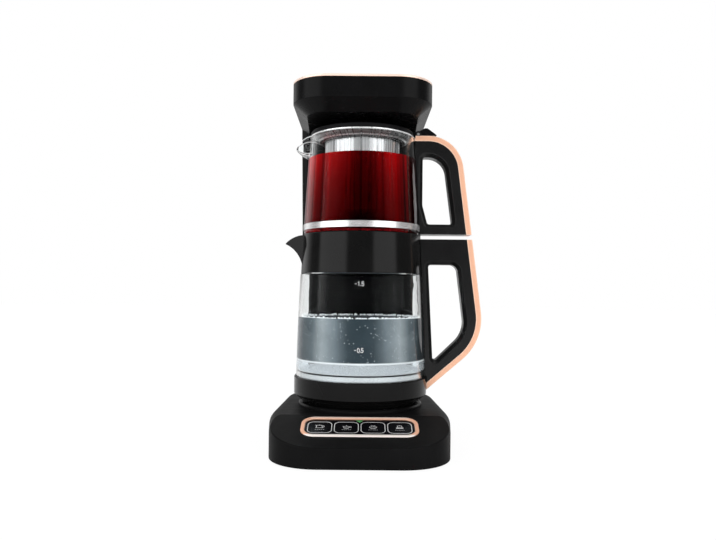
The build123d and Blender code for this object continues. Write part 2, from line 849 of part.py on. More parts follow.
def column_rear_cover():
    cover = column_shell() & behind_split()
    for i in range(vent_count):
        z = head_crease - vent_drop + vent_pitch * i
        cover -= Pos(0, column_rear, z) * Rot(90, 0, 0) * extrude(
            SlotOverall(vent_length, vent_width), amount=4 * wall, both=True)
    return cover


# ---------------------------------------------------------------- brew head
def head_outline(inset=0.0):
    corners = [
        (head_half_width, -head_front, head_corner), (head_half_width, column_rear, head_rear_corner),
        (-head_half_width, column_rear, head_rear_corner), (-head_half_width, -head_front, head_corner),
    ]
    return shrunk(rounded_outline(corners), inset)


def head_underside_outline(inset=0.0):
    """The flat underside, narrow in front and widening back to the column's front edges."""
    front_half = head_half_width - head_inset_side
    rear_half = head_half_width - head_inset_rear
    front = head_inset_front - head_front
    rear = column_rear - head_underside_setback
    front_corner = head_corner - head_inset_front
    corners = [
        (front_half, front, front_corner), (rear_half, rear, head_rear_corner),
        (-rear_half, rear, head_rear_corner), (-front_half, front, front_corner),
    ]
    return shrunk(rounded_outline(corners), inset)


def head_lower(inset=0.0):
    """The inward-sloping band between the crease and the flat underside."""
    high = Pos(0, 0, head_crease) * head_outline(inset)
    low = Pos(0, 0, head_bottom + inset) * head_underside_outline(inset)
    return loft([low, high], ruled=True)


def head_housing():
    upper = Pos(0, 0, head_crease) * extrude(
        head_outline(), amount=head_top - trim_height - head_crease)
    hollow = Pos(0, 0, head_crease) * extrude(head_outline(wall), amount=2 * head_upper_height)
    housing = upper + head_lower() - hollow - head_lower(wall)
    housing -= column_form(-fit_gap) & block((-far, far), (0, far), (0, head_crease))
    housing -= disc(nozzle_radius + fit_gap, head_bottom - through, head_bottom + wall + through)
    for x, y in head_post_places:
        housing += tube(boss_radius, screw_radius, head_bottom + wall / 2, top_cover_low, x, y)
    return housing


def head_top_cover():
    """The top plate, which sits in the trim ring on the housing's posts and is screwed from above."""
    lower = Pos(0, 0, top_cover_low) * extrude(head_outline(wall + fit_gap), amount=wall)
    upper = Pos(0, 0, top_cover_low + wall) * extrude(
        head_outline(trim_width + fit_gap), amount=trim_height - top_cover_drop)
    return lower + upper


def head_trim_ring():
    low = head_top - trim_height
    outer = Pos(0, 0, low) * extrude(head_outline(), amount=trim_height)
    hole = Pos(0, 0, low - through) * extrude(
        head_outline(trim_width), amount=trim_height + 2 * through)
    return fillet(edges_at(outer, head_top), trim_edge) - hole


def brew_nozzle():
    """The shower nozzle that pours through the lid's inlet."""
    low = head_bottom - nozzle_drop
    flange_bottom = head_bottom + wall
    flange_top = flange_bottom + nozzle_flange
    flange_radius = nozzle_radius + nozzle_flange
    nozzle = turned(
        (0, low), (nozzle_radius - soft_edge, low), (nozzle_radius, low + soft_edge),
        (nozzle_radius, flange_bottom), (flange_radius, flange_bottom), (flange_radius, flange_top),
        (0, flange_top))
    nozzle -= disc(nozzle_bore, head_bottom, flange_top + through)
    nozzle -= disc(nozzle_chamber, low + wall, flange_bottom)
    for i in range(nozzle_jet_count):
        angle = 2 * pi * i / nozzle_jet_count
        nozzle -= disc(
            nozzle_jet_radius, low - through, head_bottom,
            nozzle_jet_circle * cos(angle), nozzle_jet_circle * sin(angle))
    return nozzle


# ---------------------------------------------------------------- kettle
def kettle_wall_line(offset_by=0.0):
    """The curved line of the kettle's glass, moved outwards."""
    return ThreePointArc(
        (kettle_glass_radius_low + offset_by, kettle_glass_bottom),
        (kettle_glass_radius_mid + offset_by, (kettle_glass_bottom + collar_bottom) / 2),
        (kettle_glass_radius_high + offset_by, collar_bottom - soft_edge))


def kettle_form(clearance):
    """The kettle's outside without spout or handle, grown by clearance."""
    line = kettle_wall_line(clearance)
    ring = kettle_ring_radius + clearance
    ring_top = kettle_ring_top + clearance
    start, end = line @ 0, line @ 1
    rest = Polyline(
        end, (kettle_glass_radius_high + clearance, collar_bottom),
        (collar_radius_low + clearance, collar_bottom), (collar_radius_high + clearance, collar_top),
        (0, collar_top), (0, kettle_bottom), (ring - kettle_bevel_width, kettle_bottom),
        (ring, kettle_bevel_top), (ring, ring_top), (start.X, ring_top), start)
    return revolve(Plane.XZ * make_face(Curve() + [line, rest]), Axis.Z)


def kettle_base_ring():
    """The black cup that carries the glass and the heater, with its floor over the dock."""
    ring = kettle_ring_radius
    inner = ring - kettle_ring_wall
    seat = kettle_glass_bottom - seal_thickness
    socket = kettle_glass_radius_low + fit_gap
    cup = turned(
        (0, kettle_bottom), (ring - kettle_bevel_width, kettle_bottom), (ring, kettle_bevel_top),
        (ring, kettle_ring_top - soft_edge), (ring - soft_edge, kettle_ring_top),
        (socket, kettle_ring_top), (socket, seat), (inner, seat), (inner, kettle_bevel_top + soft_edge),
        (ring - kettle_bevel_width - soft_edge, kettle_floor_top), (0, kettle_floor_top))
    cup -= disc(connector_radius + coupler_gap, 0, kettle_bevel_top)
    return cup - disc(water_port_radius + fit_gap, 0, kettle_bevel_top, y=water_port_y)


def kettle_coupler():
    """The socket that drops over the connector, with a contact ring and a centre contact."""
    low = kettle_floor_top
    high = low + coupler_height
    contact_low = low + soft_edge
    roof_low = high - coupler_roof
    inner = connector_radius + coupler_gap
    cup = tube(inner + coupler_wall, inner, low, high)
    cup += disc(inner + coupler_wall, roof_low, high)
    cup += tube(
        contact_groove_outer - coupler_contact_gap, contact_groove_inner + coupler_contact_gap,
        contact_low, high)
    return cup + tube(
        contact_pin_recess - 2 * coupler_contact_gap, contact_pin_radius + coupler_contact_gap,
        contact_low, high)


def thermostat():
    low = kettle_floor_top + coupler_height
    middle = spreader_under - thermostat_cap_height
    body = block(
        (-thermostat_length / 2, thermostat_length / 2), (-thermostat_width / 2, thermostat_width / 2),
        (low, middle))
    return body + disc(thermostat_cap_radius, low, spreader_under)


def heater_plate():
    """The steel pan that closes the glass from below."""
    radius = kettle_glass_radius_low - glass_wall - fit_gap
    pan = turned(
        (0, heater_under), (radius - heater_sheet, heater_under),
        (radius - heater_sheet, kettle_glass_bottom), (radius, kettle_glass_bottom),
        (radius, heater_top - soft_edge), (radius - soft_edge, heater_top), (0, heater_top))
    return pan - disc(water_port_radius - valve_lip + fit_gap, 0, far, y=water_port_y)


def heat_spreader():
    plate = disc(spreader_radius, spreader_under, heater_under)
    return plate - disc(water_port_radius + coupler_gap, 0, far, y=water_port_y)


def heating_element():
    """A tubular element bent into an open ring under the spreader, with its two cold ends."""
    z = spreader_under - element_tube_radius
    section = Plane.XZ * Pos(element_ring_radius, z) * Circle(element_tube_radius)
    half_break = (360 - element_arc) / 2
    loop = Rot(0, 0, 90 + half_break) * revolve(section, Axis.Z, element_arc)
    ends = []
    for side in (-1, 1):
        angle = radians(90 + side * half_break)
        ends.append(disc(
            element_tube_radius, z - element_end_length, z,
            element_ring_radius * cos(angle), element_ring_radius * sin(angle)))
    return loop + ends


def glass_seal():
    outer = kettle_glass_radius_low
    return tube(outer, outer - seal_width, kettle_glass_bottom - seal_thickness, kettle_glass_bottom)


def kettle_valve():
    """The silicone valve between the kettle's water and the port in the dock."""
    low = kettle_bottom + running_gap
    neck = water_port_radius - valve_lip
    valve = disc(water_port_radius, low, spreader_under - soft_edge, y=water_port_y)
    valve += disc(neck, low, heater_top + soft_edge, y=water_port_y)
    valve += disc(
        neck + valve_lip, heater_top, heater_top + valve_flange_thickness, y=water_port_y)
    return valve - disc(water_bore_radius, 0, far, y=water_port_y)


def kettle_glass():
    """The glass body, with a narrower neck for the collar."""
    outer = kettle_wall_line()
    inner = kettle_wall_line(-glass_wall)
    neck, top = kettle_neck_radius, collar_bottom + kettle_neck_height
    upper = Polyline(
        outer @ 1, (kettle_glass_radius_high - soft_edge, collar_bottom - fit_gap),
        (neck, collar_bottom - fit_gap), (neck, top), (neck - glass_wall, top),
        (neck - glass_wall, collar_bottom - soft_edge), inner @ 1)
    lower = Line(inner @ 0, outer @ 0)
    return revolve(Plane.XZ * make_face(Curve() + [outer, upper, inner, lower]), Axis.Z)


def beak(inset=0.0):
    """The collar's beak, curving out from the wall to a low tip."""
    return pouring_lip(
        start=(beak_half_width / 5 - collar_radius_high, collar_top - beak_rim_drop),
        tip=(-collar_radius_high - beak_reach, collar_top - beak_drop),
        root=(wall - collar_radius_low, collar_top - beak_root_drop),
        tip_edge=beak_tip_edge, sags=(beak_upper_sag, beak_lower_sag),
        half_widths=(beak_half_width, beak_tip_half_width), inset=inset)


def kettle_collar():
    throat = kettle_neck_radius - glass_wall
    socket = kettle_neck_radius + fit_gap
    flange_low = collar_top - mouth_flange
    outside = turned(
        (0, collar_bottom), (collar_radius_low, collar_bottom), (collar_radius_high, collar_top - soft_edge),
        (collar_radius_high - soft_edge, collar_top), (0, collar_top))
    inside = turned(
        (0, collar_bottom - through), (socket, collar_bottom - through), (socket, collar_shoulder),
        (throat, collar_shoulder), (throat, flange_low), (mouth_radius, flange_low),
        (mouth_radius, collar_top + through), (0, collar_top + through))
    channel = beak(wall) - block((-far, 0), (-far, far), (0, collar_shoulder + wall))
    return outside + beak() - inside - channel


# ---------------------------------------------------------------- handles
def levelled(point, run, level):
    """The point moved along its run to the given level, or left where the run is level."""
    return point + run * ((level - point.Y) / run.Y) if abs(run.Y) > 0.1 else point


def inset_path(path, distance, beyond=0.0):
    """An open path moved to its right, ending level with the old path or beyond it."""
    points = [Vector(*point) for point in path]
    runs = [(b - a).normalized() for a, b in zip(points, points[1:])]
    aside = [Vector(run.Y, -run.X) * distance for run in runs]
    moved = [levelled(points[0] + aside[0], runs[0], points[0].Y) - runs[0] * beyond]
    for i in range(1, len(runs)):
        turn = runs[i - 1].get_angle(runs[i])
        bisector = (aside[i - 1] + aside[i]).normalized()
        moved.append(points[i] + bisector * (distance / cos(radians(turn / 2))))
    moved.append(levelled(points[-1] + aside[-1], runs[-1], points[-1].Y) + runs[-1] * beyond)
    return [(p.X, p.Y) for p in moved]


def handle_sheet(path, bend, inner_x):
    """The face between a handle's outer path, rounded at its one bend, and the pot."""
    ends = [(inner_x, path[-1][1]), (inner_x, path[0][1])]
    corners = [(x, z, radius) for (x, z), radius in zip(path + ends, [0, bend, 0, 0, 0])]
    return rounded_outline(corners)


def handle_blank(path, bend, hole):
    """A handle's grip: the plate inside the strip, its finger hole bevelled on both faces."""
    inner = inset_path(path, strip_thickness)
    plate = side_plate(handle_sheet(inner, bend - strip_thickness, handle_root), handle_width)
    plate -= side_plate(rounded_outline(hole), handle_width + 2 * through)
    for face_number in (0, -1):
        face = plate.faces().filter_by(Axis.Y).sort_by(Axis.Y)[face_number]
        plate = chamfer(face.inner_wires()[0].edges(), grip_bevel)
    return plate


def handle_strip(path, bend):
    """The strip round the outside of a handle."""
    outer = side_plate(handle_sheet(path, bend, handle_root), handle_width)
    inner = inset_path(path, strip_thickness, beyond=2 * strip_thickness)
    hollow = handle_sheet(inner, bend - strip_thickness, handle_root - 2 * strip_thickness)
    return outer - side_plate(hollow, handle_width + 2 * through)


def kettle_handle():
    blank = handle_blank(kettle_handle_path, kettle_handle_bend, kettle_finger_hole)
    blank -= kettle_form(handle_gap)
    for x in kettle_screw_places:
        blank -= disc(screw_radius, kettle_handle_top - screw_length - through, kettle_handle_top, x)
        blank -= disc(
            screw_head_radius + fit_gap, kettle_handle_top - screw_head_height, collar_top, x)
    return blank


def kettle_handle_strip():
    return handle_strip(kettle_handle_path, kettle_handle_bend) - kettle_form(handle_gap)


def kettle_handle_screws():
    """Two screws that clamp the grip to its inner frame, hidden under the teapot's handle."""
    downward = Rot(180, 0, 0) * screw(0, 0, 0, screw_length)
    return [Pos(x, 0, kettle_handle_top) * downward for x in kettle_screw_places]


def hinge_axis_cylinder(radius, length):
    return Pos(hinge_x, 0, hinge_z) * Rot(90, 0, 0) * Cylinder(radius, length)


def hinge_ears():
    """Two ears that carry the lid's hinge pin, standing on the handle's root."""
    gap = hinge_axis_cylinder(far, 2 * hinge_ear_inner)
    foot = block(
        (hinge_x - hinge_eye_radius, hinge_x + hinge_eye_radius), (-hinge_ear_outer, hinge_ear_outer),
        (tea_rim - 2 * wall, hinge_z))
    return foot + hinge_axis_cylinder(hinge_eye_radius, 2 * hinge_ear_outer) - gap


def tea_handle():
    blank = handle_blank(tea_handle_path, tea_handle_bend, tea_finger_hole)
    blank += hinge_ears()
    blank -= hinge_axis_cylinder(hinge_pin_radius, far)
    blank -= tea_form(handle_gap)
    return blank - band_ring(band_thickness + handle_gap)


def tea_handle_strip():
    notch = block(
        (0, hinge_x + hinge_eye_radius + fit_gap), (-hinge_ear_outer - fit_gap, hinge_ear_outer + fit_gap),
        (tea_bottom, far))
    strip = handle_strip(tea_handle_path, tea_handle_bend)
    return strip - notch - tea_form(handle_gap) - disc(lid_radius + wall, tea_rim, far)


# ---------------------------------------------------------------- teapot
def tea_form(clearance=0.0):
    """The teapot's glass outside, grown by clearance."""
    low = tea_bottom - clearance
    return turned(
        (0, low), (tea_radius_low + clearance, low), (tea_radius_low + clearance, tea_straight_top),
        (tea_radius_rim + clearance, tea_rim), (0, tea_rim))


def glass_lip(inset=0.0):
    """The teapot's glass pouring lip, dropping from the rim to its tip."""
    return pouring_lip(
        start=(tea_glass_wall - tea_radius_rim, tea_rim),
        tip=(-tea_radius_rim - lip_reach, tea_rim - lip_drop),
        root=(tea_glass_wall / 2 - tea_radius_rim - tea_glass_wall, tea_rim - lip_root_drop),
        tip_edge=lip_tip_edge, sags=(lip_upper_sag, -lip_lower_sag),
        half_widths=(lip_half_width, lip_tip_half_width), inset=inset)


def tea_glass():
    outside = fillet(edges_at(tea_form(), tea_bottom), tea_foot_radius)
    bore_low = tea_radius_low - tea_glass_wall
    bore_rim = tea_radius_rim - tea_glass_wall
    inner_floor = tea_bottom + tea_glass_floor
    inside = turned(
        (0, inner_floor), (bore_low - tea_foot_radius, inner_floor), (bore_low, inner_floor + tea_foot_radius),
        (bore_low, tea_straight_top), (bore_rim, tea_rim), (bore_rim, tea_rim + through),
        (0, tea_rim + through))
    return outside + glass_lip() - inside - glass_lip(0.8 * tea_glass_wall)


def band_ring(thickness):
    inner = tea_radius_low + band_gap
    return tube(inner + thickness, inner, band_bottom, band_bottom + band_height)


def infuser_basket():
    """A deep-drawn basket hung by its flange on the rim, slotted round and pierced below."""
    r, sheet, corner = basket_radius, basket_sheet, basket_corner
    inner_flange = basket_flange_inner - sheet
    shell = turned(
        (0, basket_bottom), (r - corner, basket_bottom), (r, basket_bottom + corner), (r, basket_cone_bottom),
        (basket_flange_inner, tea_rim - sheet), (basket_flange_inner, tea_rim), (basket_flange_outer, tea_rim),
        (basket_flange_outer, tea_rim + sheet), (inner_flange, tea_rim + sheet),
        (inner_flange, tea_rim - sheet / 2), (r - sheet, basket_cone_bottom + sheet / 2),
        (r - sheet, basket_bottom + corner + sheet / 4), (r - corner - sheet / 4, basket_bottom + sheet),
        (0, basket_bottom + sheet))
    lowest_slot = basket_bottom + slot_height
    for row in range(slot_rows):
        cutter = Pos(r, 0, lowest_slot + row * slot_pitch) * Box(2 * corner, slot_width, slot_height)
        for i in range(slot_columns):
            shell -= Rot(0, 0, (i + 0.5) * 360 / slot_columns) * cutter
    for i in range(floor_hole_count):
        angle = 2 * pi * i / floor_hole_count
        shell -= disc(floor_hole_radius, basket_bottom - through, basket_bottom + corner,
                      floor_hole_circle * cos(angle), floor_hole_circle * sin(angle))
    return shell


def tea_lid():
    """A shallow domed lid with a water inlet in its middle and a plug that centres it."""
    r, plug, inlet = lid_radius, lid_plug_radius, lid_inlet_radius
    plug_bottom = lid_bottom - lid_plug_depth
    return turned(
        (inlet, lid_bottom), (plug - lid_plug_wall, lid_bottom), (plug - lid_plug_wall, plug_bottom),
        (plug, plug_bottom), (plug, lid_bottom), (r, lid_bottom), (r, lid_edge_top - soft_edge),
        (r - soft_edge, lid_edge_top), (0.62 * r, lid_top), (inlet + lid_inlet_rim, lid_top),
        (inlet, lid_top - lid_inlet_drop))


def lid_lever():
    """The tongue that joins the lid to its hinge pin, and the thumb lever beyond it."""
    tongue_start = lid_radius - lid_inlet_rim
    tongue_top = lid_edge_top + soft_edge
    peak_x, peak_z = hinge_x + lever_peak_reach, hinge_z + lever_peak_rise
    end_x, bottom = hinge_x + lever_end_reach, hinge_z - lever_drop
    half_peak = lever_peak_width / 2
    profile = rounded_outline([
        (tongue_start, lid_bottom + lever_neck, 0), (tongue_start, tongue_top, soft_edge),
        (hinge_x - soft_edge, hinge_z + lever_neck, lever_bend),
        (peak_x - half_peak, peak_z, lever_bend), (peak_x + half_peak, peak_z, lever_bend),
        (end_x, bottom + lever_tip, lever_tip / 4), (end_x, bottom, lever_tip / 4),
        (hinge_x + hinge_eye_radius + lever_bend, bottom, lever_bend),
        (hinge_x, hinge_z - lever_neck, soft_edge)])
    lever = side_plate(profile, 2 * (hinge_ear_inner - running_gap))
    lever -= hinge_axis_cylinder(hinge_pin_radius + pin_gap, far)
    return lever - tea_lid()


# ---------------------------------------------------------------- export
def pieces():
    made = {
        "base_housing": base_housing(),
        "base_floor_plate": base_floor_plate(),
        "rubber_feet": rubber_feet(),
        "base_screws": base_screws(),
        "cord_gland": cord_gland(),
        "panel_bezel": panel_bezel(),
        "panel_fascia": panel_fascia(),
        "indicator_lens": indicator_lens(),
        "control_board": control_board(),
        "main_board": main_board(),
        "kettle_dock": kettle_dock(),
        "power_connector": power_connector(),
        "dock_water_port": dock_water_port(),
        "water_pump": water_pump(),
        "inlet_hose": inlet_hose(),
        "riser_hose": riser_hose(),
        "column_front_cover": column_front_cover(),
        "column_rear_cover": column_rear_cover(),
        "head_housing": head_housing(),
        "head_top_cover": head_top_cover(),
        "head_trim_ring": head_trim_ring(),
        "brew_nozzle": brew_nozzle(),
        "kettle_base_ring": kettle_base_ring(),
        "kettle_coupler": kettle_coupler(),
        "thermostat": thermostat(),
        "heater_plate": heater_plate(),
        "heat_spreader": heat_spreader(),
        "heating_element": heating_element(),
        "glass_seal": glass_seal(),
        "kettle_valve": kettle_valve(),
        "kettle_glass": kettle_glass(),
        "kettle_collar": kettle_collar(),
        "kettle_handle": kettle_handle(),
        "kettle_handle_strip": kettle_handle_strip(),
        "kettle_handle_screws": kettle_handle_screws(),
        "teapot_glass": tea_glass(),
        "teapot_band": band_ring(band_thickness),
        "teapot_handle": tea_handle(),
        "teapot_handle_strip": tea_handle_strip(),
        "infuser_basket": infuser_basket(),
        "teapot_lid": tea_lid(),
        "lid_lever": lid_lever(),
        "lid_hinge_pin": hinge_axis_cylinder(hinge_pin_radius, 2 * hinge_ear_outer),
    }
    for i, u in enumerate(button_places, start=1):
        made[f"button_{i}"] = button(u)
        made[f"button_dome_{i}"] = button_dome(u)
    return made


def solids_of(shape):
    return [s for one in (shape if isinstance(shape, list) else [shape]) for s in one.solids()]


made = {name: solids_of(shape) for name, shape in pieces().items()}
box = Compound(children=[s for solids in made.values() for s in solids]).bounding_box()
row_shift = Pos(-(box.min.X + box.max.X) / 2, -(box.min.Y + box.max.Y) / 2, -box.min.Z)

os.makedirs("parts", exist_ok=True)
for name, solids in made.items():
    export_step(Compound(children=[row_shift * s for s in solids]), f"parts/{name}.step")
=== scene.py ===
"""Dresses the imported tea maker: a material for every CAD node, soft domes under the keys, the
infuser basket, the water and the tea in the pots, the printed marks, and a white studio."""

import json
import math
import random

import bmesh
import bpy
from mathutils import Matrix, Vector

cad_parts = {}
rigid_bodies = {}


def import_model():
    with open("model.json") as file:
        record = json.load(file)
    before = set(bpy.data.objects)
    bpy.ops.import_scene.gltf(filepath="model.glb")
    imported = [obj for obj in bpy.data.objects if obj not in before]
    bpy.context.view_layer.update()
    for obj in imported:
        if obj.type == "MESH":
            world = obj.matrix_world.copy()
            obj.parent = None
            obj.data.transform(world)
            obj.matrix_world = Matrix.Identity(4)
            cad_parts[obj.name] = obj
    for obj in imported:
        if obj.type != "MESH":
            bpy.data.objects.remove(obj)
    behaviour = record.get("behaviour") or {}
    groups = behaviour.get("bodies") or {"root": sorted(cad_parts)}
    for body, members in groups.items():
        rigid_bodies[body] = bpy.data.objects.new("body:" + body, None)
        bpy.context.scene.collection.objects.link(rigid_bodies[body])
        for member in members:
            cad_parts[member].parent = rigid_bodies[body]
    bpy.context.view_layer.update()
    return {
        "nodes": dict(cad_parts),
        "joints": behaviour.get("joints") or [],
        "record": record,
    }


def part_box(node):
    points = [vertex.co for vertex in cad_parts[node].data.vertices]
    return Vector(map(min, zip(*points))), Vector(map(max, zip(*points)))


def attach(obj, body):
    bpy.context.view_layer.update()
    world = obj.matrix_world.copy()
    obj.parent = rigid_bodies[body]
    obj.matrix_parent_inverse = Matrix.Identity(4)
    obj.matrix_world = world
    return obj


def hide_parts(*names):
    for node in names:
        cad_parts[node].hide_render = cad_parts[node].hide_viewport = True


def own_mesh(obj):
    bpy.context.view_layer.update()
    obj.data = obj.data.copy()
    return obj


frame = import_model()
nodes = frame["nodes"]
scene = bpy.context.scene
bpy.context.view_layer.update()

MM = 0.001
RNG = random.Random(7)
WHITE = (1, 1, 1, 1)
NOISE_LOW, NOISE_HIGH = 0.3, 0.7        # nearly all of a noise texture lies between these
ring_low, ring_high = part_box("kettle_base_ring")
AXIS = Vector(((ring_low.x + ring_high.x) / 2, (ring_low.y + ring_high.y) / 2, 0.0))


def at(x, y, z):
    """A point in metres from millimetres about the pots' axis."""
    return Vector((AXIS.x + x * MM, AXIS.y + y * MM, z * MM))


def top_of(name):
    """The height of a node's top, in millimetres."""
    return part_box(name)[1].z / MM


def bottom_of(name):
    """The height of a node's underside, in millimetres."""
    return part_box(name)[0].z / MM


def depth_range(name):
    """The foremost and rearmost Y of a node, in metres."""
    depths = [vertex.co.y for vertex in nodes[name].data.vertices]
    return min(depths), max(depths)


def wall_radius(name, height, outside=False):
    """A pot's inside or outside radius at a height, in millimetres, found in its own mesh."""
    well_outside = 200.0
    start, way = at(0, 0, height), Vector((0, -1, 0))
    if outside:
        start, way = at(0, -well_outside, height), Vector((0, 1, 0))
    _, where, _, _ = nodes[name].ray_cast(start, way)
    return abs(where.y - AXIS.y) / MM


# ---------------------------------------------------------------- shader helpers
def link(tree, source, target):
    tree.links.new(source, target)


def feed(tree, value, socket):
    """Links a socket, or sets a plain number or colour."""
    if isinstance(value, bpy.types.NodeSocket):
        link(tree, value, socket)
    else:
        socket.default_value = (*value, 1) if isinstance(value, tuple) else value


def node(tree, kind, **settings):
    """A new node, with each setting put on the input of that name or on the node itself."""
    made = tree.nodes.new(kind)
    for name, value in settings.items():
        if name in made.inputs:
            made.inputs[name].default_value = value
        else:
            setattr(made, name, value)
    return made


def maths(tree, operation, *values):
    """A Math node on sockets or plain numbers."""
    made = node(tree, "ShaderNodeMath", operation=operation)
    for socket, value in zip(made.inputs, values):
        feed(tree, value, socket)
    return made.outputs["Value"]


def product(tree, first, second):
    return maths(tree, "MULTIPLY", first, second)


def remap(tree, value, from_low, from_high, to_low, to_high):
    """A value's range carried over to another, and held at its ends."""
    made = node(tree, "ShaderNodeMapRange")
    for name, number in (
        ("From Min", from_low), ("From Max", from_high), ("To Min", to_low), ("To Max", to_high)
    ):
        made.inputs[name].default_value = number
    link(tree, value, made.inputs["Value"])
    return made.outputs["Result"]


def window(tree, value, low, high, soft):
    """1 where a value lies between low and high, with soft ends."""
    rise = remap(tree, value, low - soft, low + soft, 0.0, 1.0)
    fall = remap(tree, value, high - soft, high + soft, 1.0, 0.0)
    return product(tree, rise, fall)


def blank(name, **sockets):
    """A new material with its node tree and its shader, with plain values on some sockets."""
    material = bpy.data.materials.new(name)
    material.use_nodes = True
    tree = material.node_tree
    shader = tree.nodes["Principled BSDF"]
    for socket, value in sockets.items():
        shader.inputs[socket.replace("_", " ")].default_value = value
    return material, tree, shader


def own_place(tree, stretch=(1, 1, 1)):
    """The piece's own coordinates, in metres, stretched along each axis."""
    where = node(tree, "ShaderNodeTexCoord")
    mapping = node(tree, "ShaderNodeMapping")
    mapping.inputs["Scale"].default_value = stretch
    link(tree, where.outputs["Object"], mapping.inputs["Vector"])
    return mapping.outputs["Vector"]


def object_noise(tree, scale, detail=3.0, stretch=(1, 1, 1)):
    """Noise in the piece's own coordinates, with its scale counted per metre."""
    noise = node(tree, "ShaderNodeTexNoise", Scale=scale, Detail=detail)
    link(tree, own_place(tree, stretch), noise.inputs["Vector"])
    return noise.outputs["Fac"]


def about_axis(tree):
    """The radius from the pots' axis, the angle round it with 0 at the front, and the height."""
    centred = node(tree, "ShaderNodeVectorMath", operation="SUBTRACT")
    link(tree, own_place(tree), centred.inputs[0])
    centred.inputs[1].default_value = (AXIS.x, AXIS.y, 0)
    axes = node(tree, "ShaderNodeSeparateXYZ")
    link(tree, centred.outputs["Vector"], axes.inputs["Vector"])
    x, y, height = (axes.outputs[name] for name in "XYZ")
    squares = maths(tree, "ADD", product(tree, x, x), product(tree, y, y))
    angle = maths(tree, "ARCTAN2", x, product(tree, y, -1.0))
    return maths(tree, "SQRT", squares), angle, height


def line_noise(tree, value, scale, detail=4.0):
    """Noise that changes with one value only."""
    lines = node(tree, "ShaderNodeTexNoise", noise_dimensions="1D", Scale=scale, Detail=detail)
    link(tree, value, lines.inputs["W"])
    return lines.outputs["Fac"]


def blend_colours(tree, share, first, second, way="MIX"):
    """Mixes two colours, each a socket or three plain numbers."""
    made = node(tree, "ShaderNodeMix", data_type="RGBA", blend_type=way)
    feed(tree, share, made.inputs["Factor"])
    colours = [socket for socket in made.inputs if socket.type == "RGBA"]
    for value, socket in zip((first, second), colours):
        feed(tree, value, socket)
    return next(socket for socket in made.outputs if socket.type == "RGBA")


def times(tree, first, second):
    """Multiplies two colours."""
    return blend_colours(tree, 1.0, first, second, "MULTIPLY")


def stops(tree, value, *marks):
    """A colour ramp through several (position, colour) marks."""
    made = node(tree, "ShaderNodeValToRGB")
    elements = made.color_ramp.elements
    for position, _ in marks[1:-1]:
        elements.new(position)
    for element, (position, colour) in zip(elements, marks):
        element.position, element.color = position, (*colour, 1)
    link(tree, value, made.inputs["Fac"])
    return made.outputs["Color"]


def grey(level):
    return (level, level, level)


def grey_stops(tree, value, *marks):
    """A ramp through several (position, level) marks, without colour."""
    return stops(tree, value, *((position, grey(level)) for position, level in marks))


def ramp(tree, noise, low, high):
    """A colour that runs from low to high over a noise's range."""
    return stops(tree, noise, (NOISE_LOW, low), (NOISE_HIGH, high))


def spread(tree, noise, low, high):
    """A number that runs from low to high over a noise's range."""
    return remap(tree, noise, NOISE_LOW, NOISE_HIGH, low, high)


def rounded_normal(tree, radius, samples):
    """The normal that a surface would have with its edges rounded to a radius in metres."""
    bevel = node(tree, "ShaderNodeBevel", samples=samples, Radius=radius)
    return bevel.outputs["Normal"]


def bump(tree, shader, height, distance, strength, edge=0.0):
    """Relief from a height, with edges that look rounded where edge, a radius, is given."""
    made = node(tree, "ShaderNodeBump", Strength=strength, Distance=distance)
    link(tree, height, made.inputs["Height"])
    if edge:
        link(tree, rounded_normal(tree, edge, samples=6), made.inputs["Normal"])
    link(tree, made.outputs["Normal"], shader.inputs["Normal"])


def mixed(tree, share, first, second):
    """Mixes two shader outputs and gives the mix's output."""
    mix = node(tree, "ShaderNodeMixShader")
    feed(tree, share, mix.inputs["Fac"])
    link(tree, first, mix.inputs[1])
    link(tree, second, mix.inputs[2])
    return mix.outputs["Shader"]


def see_surface(tree, surface):
    """Puts a shader output on the material."""
    link(tree, surface, tree.nodes["Material Output"].inputs["Surface"])


def clear_layer(tree, colour=(1, 1, 1)):
    """A plain see-through layer that doesn't bend light."""
    layer = node(tree, "ShaderNodeBsdfTransparent")
    layer.inputs["Color"].default_value = (*colour, 1)
    return layer.outputs["BSDF"]


def unseen_rays(tree):
    """1 for shadow and diffuse rays."""
    path = node(tree, "ShaderNodeLightPath")
    return maths(tree, "MAXIMUM", path.outputs["Is Shadow Ray"], path.outputs["Is Diffuse Ray"])


def place_along(tree, axis):
    """The piece's own X, Y or Z, in metres."""
    axes = node(tree, "ShaderNodeSeparateXYZ")
    link(tree, own_place(tree), axes.inputs["Vector"])
    return axes.outputs[axis]


def shades(colour, low, high):
    """A darker and a lighter version of a colour."""
    return tuple(c * low for c in colour), tuple(min(1.0, c * high) for c in colour)


# ---------------------------------------------------------------- materials
METAL_EDGE = 0.0003             # how far metal edges look rounded, in metres
# the cosine between the real and the rounded normal where an edge begins and where it is full
EDGE_BEGINS, EDGE_FULL = 0.995, 0.86


def plastic(name, colour, roughness, grain=2600.0, depth=0.00004, specular=0.13, edge=0.0005):
    """Moulded plastic: a fine spark texture, with slow changes of tone and gloss."""
    material, tree, shader = blank(name, Specular_IOR_Level=specular)
    clouds = object_noise(tree, scale=22.0, detail=4.0)
    link(tree, ramp(tree, clouds, *shades(colour, 0.8, 1.2)), shader.inputs["Base Color"])
    smears = object_noise(tree, scale=60.0, detail=5.0)
    gloss = spread(tree, smears, roughness - 0.03, roughness + 0.04)
    link(tree, gloss, shader.inputs["Roughness"])
    sparks = object_noise(tree, scale=grain, detail=2.0)
    bump(tree, shader, sparks, distance=depth, strength=0.6, edge=edge)
    return material


